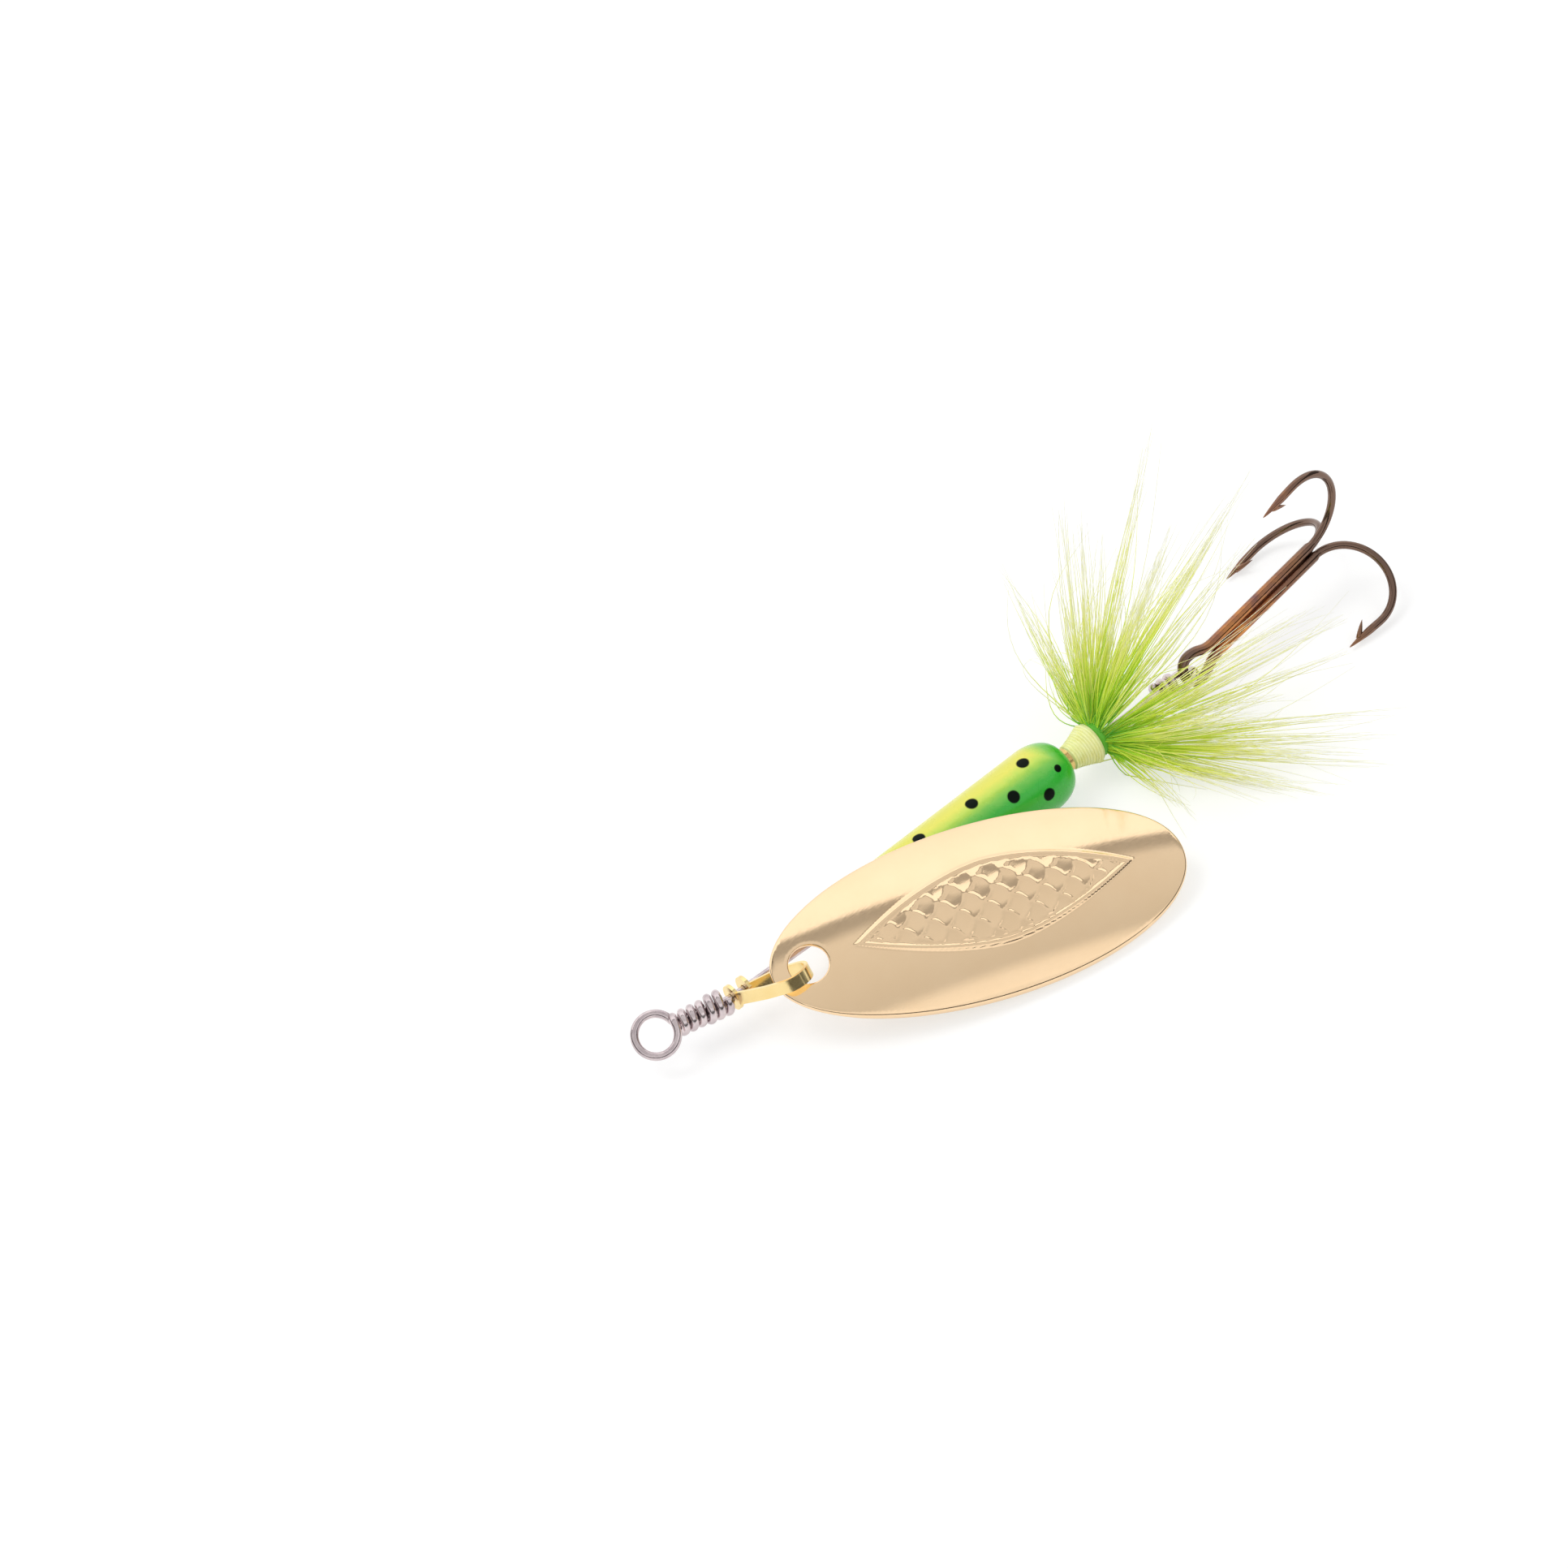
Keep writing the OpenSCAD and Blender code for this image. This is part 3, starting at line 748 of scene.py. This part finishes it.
def threadTree(values):
    group, gin, gout = newGroup("threadWinding", values)
    link, given = group.links.new, gin.outputs
    line = node(group, "GeometryNodeCurvePrimitiveLine", End=(1, 0, 0))
    finer = node(group, "GeometryNodeResampleCurve", Count=threadSize["steps"])
    link(line.outputs[0], finer.inputs["Curve"])
    t = node(group, "GeometryNodeSplineParameter").outputs["Factor"]
    turn = calc(group, "MULTIPLY", calc(group, "MULTIPLY", t, given["Turns"]), 2 * math.pi)
    x = calc(group, "MULTIPLY_ADD", t, given["Length"], given["Start X"])
    grow = calc(group, "SUBTRACT", given["Rear Radius"], given["Front Radius"])
    share = calc(group, "POWER", t, threadSize["taper"])
    r = calc(group, "MULTIPLY_ADD", share, grow, given["Front Radius"])
    y = calc(group, "MULTIPLY_ADD", calc(group, "COSINE", turn), r, given["Axis Y"])
    z = calc(group, "MULTIPLY", calc(group, "SINE", turn), r)
    setPos = node(group, "GeometryNodeSetPosition")
    link(finer.outputs[0], setPos.inputs["Geometry"])
    link(joinedAxes(group, X=x, Y=y, Z=z), setPos.inputs["Position"])
    half = calc(group, "MULTIPLY", given["Strand"], 0.5)
    tubed(group, setPos.outputs[0], threadSize["strandSides"], half, given, gout)
    return group


def makeThread():
    s, x0, x1 = threadSize, threadLow.x / mm, threadHigh.x / mm
    front, rear, strand = s["front"] / 2, s["rear"] / 2, s["strand"]
    profile = [(x0, s["bore"])]
    for t in [k / 8 for k in range(9)]:
        profile.append((x0 + (x1 - x0) * t, front + (rear - front) * t ** s["taper"] - strand * s["sunk"]))
    verts, faces = lathe(profile + [(x1, s["bore"])], 64)
    material = makeThreadMaterial()
    core = meshPiece("threadCore", verts, faces, material, "dressed_body")
    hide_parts("thread_wrap")
    wound = grown("threadWraps", [(0, 0, 0)], threadTree, {
        "Start X": (x0 + strand / 2) * mm, "Length": (x1 - x0 - strand) * mm,
        "Front Radius": (front - strand / 2) * mm, "Rear Radius": (rear - strand / 2) * mm,
        "Axis Y": axisY * mm, "Turns": float(s["turns"]), "Strand": strand * mm, "Material": material,
    }, "dressed_body")
    return wound


thread = makeThread()
print("thread wound", len(thread.data.polygons))

# hackle: fibres in clumps, each clump heading for its own tip
hackleSize = {
    "rootR": 1.35, "perClump": 19, "perTuft": 10, "fewest": 3, "points": 12, "thick": 0.12, "spread": 1.1,
    "bow": 1.5, "seed": 7, "tufts": 18, "shortTuft": 16.0, "longTuft": 26.0, "leastSplay": 34.0,
    "mostSplay": 80.0, "clumpLift": 0.35, "tuftLift": 0.4, "sideRoom": 1.0, "topRoom": 1.2, "shortest": 0.44,
    "tipThin": 1.22, "scatter": 0.22, "pile": 0.6, "ground": 0.08, "longPower": 0.55, "strayPower": 4.5,
    "strayMost": 1.9, "strayLeast": 0.32, "openPower": 0.8,
}
# where the clumps fanned out on the table end: degrees from the shaft's line, degrees of rise, reach in mm
fanClumps = [
    (32, 33, 31), (45, 60, 21), (43, 28, 20), (78, 33, 14), (65, 60, 16), (31, 40, 15), (78, 27, 10),
    (13, 23, 27), (17, 36, 21), (10, 50, 18), (-10, 50, 30), (-17, 43, 25), (-36, 30, 25), (-45, 15, 19),
    (-14, 3, 27), (-24, 3, 25), (-45, 5, 28), (-41, -6, 28), (-55, 2, 25), (-49, -6, 27), (-26, -10, 16),
    (-61, -9, 18), (-58, -8, 22), (-60, -14, 12), (-85, -14, 12),
]
# the wound root: mm back from the hackle's front, radius
rootShape = [(0, 0.9), (0, 1.6), (0.5, 1.75), (1.1, 1.6), (1.2, 1.3), (1.2, 0.9)]


def fibreTree(values):
    group, gin, gout = newGroup("hackleFibres", values)
    link, given, h = group.links.new, gin.outputs, hackleSize

    def named(name, kind):
        return node(group, "GeometryNodeInputNamedAttribute", data_type=kind, Name=name).outputs["Attribute"]

    def stored(name, kind, geometry, value):
        n = node(group, "GeometryNodeStoreNamedAttribute", data_type=kind, domain="POINT", Name=name)
        link(geometry, n.inputs["Geometry"])
        link(value, n.inputs["Value"])
        return n.outputs[0]

    def chance(seed):
        # one number from 0 to 1 for each fibre
        n = node(group, "FunctionNodeRandomValue", data_type="FLOAT")
        link(ident, n.inputs["ID"])
        link(calc(group, "ADD", given["Seed"], seed), n.inputs["Seed"])
        return n.outputs[1]

    def drift(seed, amount):
        # a way of its own for each fibre, by an amount
        n = node(group, "FunctionNodeRandomValue", data_type="FLOAT_VECTOR")
        n.inputs[0].default_value = (-1, -1, -1)
        link(ident, n.inputs["ID"])
        link(calc(group, "ADD", given["Seed"], seed), n.inputs["Seed"])
        return scaled(n.outputs[0], amount)

    def scaled(vector, amount):
        n = node(group, "ShaderNodeVectorMath", operation="SCALE")
        link(vector, n.inputs[0])
        if isinstance(amount, float):
            n.inputs["Scale"].default_value = amount
        else:
            link(amount, n.inputs["Scale"])
        return n.outputs[0]

    def combined(operation, a, b):
        n = node(group, "ShaderNodeVectorMath", operation=operation)
        link(a, n.inputs[0])
        link(b, n.inputs[1])
        return n.outputs[0]

    dots = node(group, "GeometryNodeMeshToPoints")
    link(given["Geometry"], dots.inputs[0])
    many = node(group, "GeometryNodeDuplicateElements", domain="POINT")
    link(dots.outputs[0], many.inputs["Geometry"])
    link(named("amount", "INT"), many.inputs["Amount"])
    index = node(group, "GeometryNodeInputIndex").outputs[0]
    marked = stored("fibre", "INT", many.outputs["Geometry"], index)
    line = node(group, "GeometryNodeCurvePrimitiveLine")
    finer = node(group, "GeometryNodeResampleCurve")
    link(line.outputs[0], finer.inputs["Curve"])
    link(given["Points"], finer.inputs["Count"])
    place = node(group, "GeometryNodeInstanceOnPoints")
    link(marked, place.inputs["Points"])
    link(finer.outputs[0], place.inputs["Instance"])
    real = node(group, "GeometryNodeRealizeInstances")
    link(place.outputs[0], real.inputs[0])
    t = node(group, "GeometryNodeSplineParameter").outputs["Factor"]
    ident = named("fibre", "INT")
    root, tip = named("root", "FLOAT_VECTOR"), named("tip", "FLOAT_VECTOR")
    # each fibre runs part of the way to its clump's tip, and strays, bows and spreads by its own share
    part = calc(group, "POWER", chance(3), h["longPower"])
    long = calc(group, "MULTIPLY_ADD", part, 1 - h["shortest"], h["shortest"])
    along = calc(group, "MULTIPLY", t, long)
    way = scaled(combined("SUBTRACT", tip, root), along)
    apart = calc(group, "POWER", chance(8), h["strayPower"])
    stray = calc(group, "MULTIPLY_ADD", apart, h["strayMost"], h["strayLeast"])
    arch = calc(group, "MULTIPLY", calc(group, "SINE", calc(group, "MULTIPLY", t, math.pi)), stray)
    bow = drift(5, calc(group, "MULTIPLY", arch, given["Bow"]))
    opened = calc(group, "MULTIPLY", calc(group, "POWER", t, h["openPower"]), stray)
    fan = drift(9, calc(group, "MULTIPLY", opened, given["Spread"]))
    start = drift(12, h["scatter"] * mm)
    position = combined("ADD", combined("ADD", combined("ADD", root, way), combined("ADD", bow, fan)), start)
    split = node(group, "ShaderNodeSeparateXYZ")
    link(position, split.inputs[0])
    ground = calc(group, "MULTIPLY_ADD", chance(15), h["pile"] * mm, given["Floor"])
    above = calc(group, "MAXIMUM", split.outputs["Z"], ground)
    setPos = node(group, "GeometryNodeSetPosition")
    link(real.outputs[0], setPos.inputs["Geometry"])
    link(joinedAxes(group, X=split.outputs["X"], Y=split.outputs["Y"], Z=above), setPos.inputs["Position"])
    curves = stored("along", "FLOAT", setPos.outputs[0], along)
    curves = stored("shade", "FLOAT", curves, chance(21))
    thick = calc(group, "MULTIPLY", calc(group, "SUBTRACT", h["tipThin"], t), given["Thickness"])
    tubed(group, curves, 3, 0.5, given, gout, scale=thick)
    return group


def makeFibreMaterial():
    mat, tree, bsdf = newMaterial("hackleFibre")
    along, shade = [node(tree, "ShaderNodeAttribute", attribute_name=name) for name in ("along", "shade")]
    mixed = calc(tree, "MULTIPLY_ADD", shade.outputs["Fac"], 0.38, along.outputs["Fac"])
    toneAndGlow = ramp(tree, mixed, [
        (0.1, (0.10, 0.46, 0.01)), (0.24, (0.42, 0.78, 0.02)), (0.42, (0.70, 0.90, 0.05)),
        (0.62, (0.95, 0.98, 0.24)), (0.9, (1.0, 1.0, 0.62)),
    ])
    # painted glow: the fibre colour is also given out as a faint glow of their own, which lifts the shade the
    # fibres cast on each other
    tree.links.new(toneAndGlow, bsdf.inputs["Base Color"])
    tree.links.new(toneAndGlow, bsdf.inputs["Emission Color"])
    fine = objectNoise(tree, 3000, 3, 0.5)
    tree.links.new(remap(tree, fine, 0.3, 0.7, 0.35, 0.6), bsdf.inputs["Roughness"])
    # the emission strength set below is the strength of that painted glow
    setValues(bsdf, {
        "Emission Strength": 0.07, "Sheen Weight": 0.25, "Subsurface Weight": 0.5,
        "Subsurface Radius": (1.0, 1.0, 0.4), "Subsurface Scale": 0.00025,
    })
    bump(tree, fine, 0.2, 0.00002, bsdf)
    return mat


def heldTip(tip, lift):
    # no tip leaves the solid's box at the sides or the top, or lies under the table
    h = hackleSize
    y = min(max(tip.y, hackleLow.y + h["sideRoom"] * mm), hackleHigh.y - h["sideRoom"] * mm)
    return Vector((tip.x, y, min(max(tip.z, (floorZ + lift) * mm), hackleHigh.z - h["topRoom"] * mm)))


def makeHackle():
    h, material = hackleSize, makeFibreMaterial()
    centre = Vector((hackleLow.x + 0.6 * mm, axisY * mm, 0))
    tips, amounts = [], []
    for angle, rise, reach in fanClumps:
        way = Vector((cos(angle) * cos(rise), sin(angle) * cos(rise), sin(rise)))
        tips.append(heldTip(centre + way * reach * mm, h["clumpLift"]))
        amounts.append(h["perClump"])
    for i in range(h["tufts"]):  # the solids' own tufts, thin where they would hide the shaft
        turn = -6 + 192 * i / (h["tufts"] - 1)
        splay = h["leastSplay"] + (h["mostSplay"] - h["leastSplay"]) * ((i * 0.6180 + 0.1) % 1)
        long = h["shortTuft"] + (h["longTuft"] - h["shortTuft"]) * ((i * 0.3819 + 0.35) % 1)
        way = Vector((cos(splay), sin(splay) * cos(turn), sin(splay) * sin(turn)))
        tips.append(heldTip(centre + way * long * mm, h["tuftLift"]))
        hidesShaft = abs(turn - 90) < 32 and splay < 62
        amounts.append(h["fewest"] if hidesShaft else h["perTuft"])
    outs = [Vector((0, tip.y - centre.y, tip.z - centre.z)).normalized() for tip in tips]
    roots = [centre + out * h["rootR"] * mm for out in outs]
    fibres = grown("hackleFibres", roots, fibreTree, {
        "Points": h["points"], "Thickness": h["thick"] * mm, "Spread": h["spread"] * mm, "Bow": h["bow"] * mm,
        "Floor": (floorZ + h["ground"]) * mm, "Seed": h["seed"], "Material": material,
    }, "dressed_body", [
        ("root", "FLOAT_VECTOR", "vector", roots), ("tip", "FLOAT_VECTOR", "vector", tips),
        ("amount", "INT", "value", amounts),
    ])
    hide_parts("hackle")
    verts, faces = lathe([(hackleLow.x / mm + x, r) for x, r in rootShape], 64)
    knot = meshPiece("hackleRoot", verts, faces, material, "dressed_body")
    return fibres


hackle = makeHackle()
print("hackle made", len(hackle.data.polygons))

# treble hook
hookSize = {
    "r": 0.5, "eyeR": 1.25, "linkR": 0.935, "strand": 0.52, "bundle": 0.3002, "long": 21.7, "bend": 4.3,
    "over": 4.0, "leg": 4.0, "point": 1.7, "roll": 60.0, "swing": 9.0, "ground": 2.6, "forged": 17.5,
    "bendR": 0.38, "barbBack": 1.3, "barb": 1.9, "barbAngle": 36.0, "neck": 3.0, "eyeGap": 0.185,
    "singleFrom": 2.2,
}
barbRadii = (0.27, 0.26, 0.22, 0.17, 0.1, 0.02)


def hookRadii(points, tipEnds):
    # wire radius, ground down to a needle point at each open end
    total = [0.0]
    for a, b in zip(points, points[1:]):
        total.append(total[-1] + (b - a).length)
    radii = []
    for d in total:
        near = min([d if end == 0 else total[-1] - d for end in tipEnds] or [99])
        u = min(1.0, near / hookSize["ground"])
        thin = hookSize["bendR"] if near < hookSize["forged"] else hookSize["r"]
        radii.append(thin * (0.05 + 0.95 * u ** 0.7))
    return radii


def finerEnd(points, count=8):
    a, b = points[-2], points[-1]
    return points[:-1] + [a.lerp(b, k / count) for k in range(1, count + 1)]


def mirrored(p):
    return Vector((p.x, -p.y, p.z))


def makeHooks():
    h = hookSize
    link = Matrix.Translation((linkX, axisY, 0)) @ Matrix.Rotation(math.radians(h["roll"]), 4, "X")
    link = link @ Matrix.Rotation(math.radians(h["swing"]), 4, "Z")
    neck, gapeX = h["neck"], h["long"] - h["bend"] - h["r"]
    narrow = math.degrees(math.acos(1 - (h["eyeR"] - h["strand"]) / (2 * neck)))
    shank = gapeX - (h["eyeR"] - h["linkR"]) - 2 * neck * sin(narrow)
    end = [("arc", h["bend"], 180 + h["over"]), ("line", h["leg"] - h["point"]), ("line", h["point"])]
    # one wire bent double at the eye makes two of the hooks
    eye = [("arc", h["eyeR"], -90), ("arc", neck, -narrow), ("arc", neck, narrow)]
    eye += [("line", shank), ("roll", 30)]
    start = Matrix.Translation((-h["linkR"], 0, 0)) @ Matrix.Rotation(math.pi / 2, 4, "Z")
    half, last = bendPath(eye + end, start, step=5)
    half = finerEnd(half)
    run = [mirrored(p) for p in reversed(half)] + half[1:]
    pair = [sweep(run, hookRadii(run, (0, 1)), 18)]
    # the third hook's wire lies between them
    singleX = h["linkR"] + h["eyeGap"] + h["eyeR"] + h["singleFrom"]
    begin = Matrix.Translation((singleX, 0, -h["bundle"] * 3))
    third, lastThird = bendPath([("line", gapeX - singleX), ("roll", -90)] + end, begin, step=5)
    third = finerEnd(third)
    radii = hookRadii(third, (1,))
    radii[0] = h["r"] * 0.55
    single = [sweep(third, radii, 18)]
    root = Vector((-h["barbBack"], h["r"] * 0.2, 0))
    rise = Vector((-cos(h["barbAngle"]), sin(h["barbAngle"]), 0)) * h["barb"]
    for tip, bits, flip in ((last, pair, False), (last, pair, True), (lastThird, single, False)):
        line = [tip @ (root + rise * k / 5) for k in range(6)]
        bits.append(sweep([mirrored(p) for p in line] if flip else line, barbRadii, 12))
    brazeX = (singleX - 0.6, singleX + 0.4, singleX + 2, gapeX - 1.5, gapeX + 0.4)
    pair.append(sweep([Vector((x, 0, -h["bundle"])) for x in brazeX], (0.08, 0.34, 0.46, 0.46, 0.14), 12))
    for name, bits, nodeName in (("hookPair", pair, "hook_pair"), ("hookSingle", single, "hook_single")):
        verts, faces = joined(*bits)
        piece = meshPiece(name, [link @ Vector(v) for v in verts], faces, hookMat, "treble")
        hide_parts(nodeName)
    ends = (last.translation, mirrored(last.translation), lastThird.translation)
    return [link @ p * mm for p in ends]


hookEnds = makeHooks()
print("hooks made")

# floor, reflecting cards and light
studio = {
    "floor": 0.93, "world": 0.64, "key": 2.4, "fill": 1.0, "cardTurn": -19.4, "floorSeen": 0.46, "lift": 0.60,
}


def plane(name, corners):
    mesh = bpy.data.meshes.new(name)
    mesh.from_pydata(corners, [], [(0, 1, 2, 3)])
    return newObject(name, mesh)


def makeFloor():
    # seen directly or mirrored, the table glows a little, which keeps it white and its shadows pale
    floor = plane("floor", [(x, y, floorZ * mm) for x, y in ((-3, -3), (3, -3), (3, 3), (-3, 3))])
    mat, tree, bsdf = newMaterial("paleTable")
    setValues(bsdf, {"Roughness": 0.6, "Specular IOR Level": 0.2, "Emission Color": (1, 1, 1, 1)})
    path = node(tree, "ShaderNodeLightPath")
    shown = calc(tree, "MAXIMUM", path.outputs["Is Camera Ray"], path.outputs["Is Glossy Ray"])
    tone = remap(tree, shown, 0, 1, studio["floor"], studio["floorSeen"])
    tree.links.new(tone, bsdf.inputs["Base Color"])
    tree.links.new(calc(tree, "MULTIPLY", shown, studio["lift"]), bsdf.inputs["Emission Strength"])
    floor.data.materials.append(mat)


def makeCard(name, corners, stops):
    # seen only in the metal's reflections; its glow changes across the line of the blade
    card = plane(name, corners)
    mat, tree, bsdf = newMaterial(name)
    tree.nodes.remove(bsdf)
    glow = node(tree, "ShaderNodeEmission", Strength=2.0)
    across = node(tree, "ShaderNodeVectorMath", operation="DOT_PRODUCT")
    across.inputs[1].default_value = (-sin(studio["cardTurn"]), cos(studio["cardTurn"]), 0)
    coord = node(tree, "ShaderNodeTexCoord")
    tree.links.new(coord.outputs["Object"], across.inputs[0])
    low, high = stops[0][0], stops[-1][0]
    place = remap(tree, across.outputs["Value"], low, high, 0, 1)
    tones = ramp(tree, place, [((v - low) / (high - low), (tone * 0.5,) * 3) for v, tone in stops])
    tree.links.new(tones, glow.inputs["Color"])
    tree.links.new(glow.outputs[0], tree.nodes["Material Output"].inputs["Surface"])
    card.data.materials.append(mat)
    card.visible_camera = card.visible_diffuse = card.visible_shadow = card.visible_transmission = False


def cardCorners(u0, u1, v0, v1, z0, z1):
    # corners given along and across the blade's line
    c, t = studio["cardTurn"], Vector((0.028, -0.011, 0))
    if u0 == u1:
        spots = ((u0, v0, z0), (u0, v1, z0), (u0, v1, z1), (u0, v0, z1))
    else:
        spots = ((u0, v0, z0), (u1, v0, z0), (u1, v1, z1), (u0, v1, z1))
    return [t + Vector((u * cos(c) - v * sin(c), u * sin(c) + v * cos(c), z)) for u, v, z in spots]


def makeLamp(name, centre, size, power, towards=(0.04, 0, 0)):
    data = bpy.data.lights.new(name, "AREA")
    data.shape, data.size, data.energy = "DISK", size, power
    lamp = newObject(name, data)
    lamp.location = centre
    lamp.rotation_euler = (Vector(towards) - Vector(centre)).to_track_quat("-Z", "Y").to_euler()
    lamp.visible_glossy = False


def makeWorld():
    bpy.context.scene.view_settings.view_transform = "Standard"
    world = bpy.data.worlds.new("studio")
    bpy.context.scene.world = world
    world.use_nodes = True
    tree = world.node_tree
    tree.nodes.clear()
    out = node(tree, "ShaderNodeOutputWorld")
    path = node(tree, "ShaderNodeLightPath")
    white = node(tree, "ShaderNodeBackground", Strength=1.0)
    soft = node(tree, "ShaderNodeBackground", Strength=studio["world"])
    white.inputs["Color"].default_value = soft.inputs["Color"].default_value = (1, 1, 1, 1)
    glossy = calc(tree, "MAXIMUM", path.outputs["Is Glossy Ray"], path.outputs["Is Transmission Ray"])
    seen = calc(tree, "MAXIMUM", path.outputs["Is Camera Ray"], glossy)
    mix = node(tree, "ShaderNodeMixShader")
    for socket, source in zip(mix.inputs, (seen, soft.outputs[0], white.outputs[0])):
        tree.links.new(source, socket)
    tree.links.new(mix.outputs[0], out.inputs["Surface"])


makeFloor()
makeWorld()
makeLamp("keyLamp", (-0.25, 0.35, 0.75), 0.5, studio["key"])
makeLamp("fillLamp", (0.45, -0.5, 0.6), 0.6, studio["fill"])
makeCard("overheadCard", cardCorners(-0.7, 0.7, -0.75, 0.165, 0.5, 0.5), [
    (-0.75, 1.1), (-0.52, 1.0), (-0.42, 0.68), (-0.2, 0.75), (0.04, 0.82), (0.09, 0.46), (0.165, 0.40)])
makeCard("darkStrip", cardCorners(-0.6, -0.1, 0.10, 0.16, 0.495, 0.495), [(0.09, 0.10), (0.17, 0.16)])
makeCard("farCard", cardCorners(-0.9, 0.9, 0.168, 0.7, 0.52, 0.2), [(0.15, 1.28), (0.3, 1.28), (0.7, 1.05)])
makeCard("leftCard", cardCorners(-0.7, -0.7, -0.7, 0.7, 0.0, 0.40), [(-0.7, 0.1), (0.7, 0.25)])
makeCard("rightCard", cardCorners(0.7, 0.7, -0.7, 0.7, 0.0, 0.40), [(-0.7, 0.1), (0.7, 0.25)])
makeCard("nearCard", cardCorners(-0.7, 0.7, -0.78, -0.75, 0.0, 0.32), [(-0.76, 0.12), (-0.7, 0.12)])
print("stage set")

# how far the finished pieces show from the photo's points
def writePoints():
    pieces = [o for o in bpy.data.objects if o.type == "MESH" and not o.hide_render and body_of(o)]
    spots = {o.name: [onPhoto(v.co) for v in o.data.vertices] for o in pieces}
    wholeX, wholeY = zip(*(p for places in spots.values() for p in places))
    sheet, pair = spots["bladeSheet"], spots["hookPair"]
    across = lambda p: p[0]
    down = lambda p: p[1]
    one, two, back = [onPhoto(p) for p in hookEnds]
    top, side = sorted((one, two), key=down)
    found = {
        "lureLeft": (min(wholeX), None), "lureRight": (max(wholeX), None),
        "lureTop": (None, min(wholeY)), "lureBottom": (None, max(wholeY)),
        "lineEye": onPhoto((0, 0, 0)), "bladeHole": onPhoto(bladeHole),
        "bladeTop": min(sheet, key=down), "bladeRear": max(sheet, key=across),
        "bladeFoot": max(sheet, key=down),
        "bodyShoulder": min(spots["paintedBody"], key=down),
        "threadCollar": onPhoto(((threadLow.x + threadHigh.x) / 2, axisY * mm, 0)),
        "hookTopBend": min(pair, key=down), "hookSideBend": max(pair, key=across),
        "hookTopPoint": top, "hookSidePoint": side, "hookBackPoint": back,
    }
    tree = surfaceOf(body)
    for name in photoDots:
        found[name] = onPhoto(seenPlace(tree, *photoPoints[name]))
    out = {}
    for name, (x, y) in photoPoints.items():
        fx, fy = found[name]
        out[name] = {"x": None if x is None else round(fx - x, 1), "y": None if y is None else round(fy - y, 1)}
    for name, gap in out.items():
        print("point", name, gap)


writePoints()
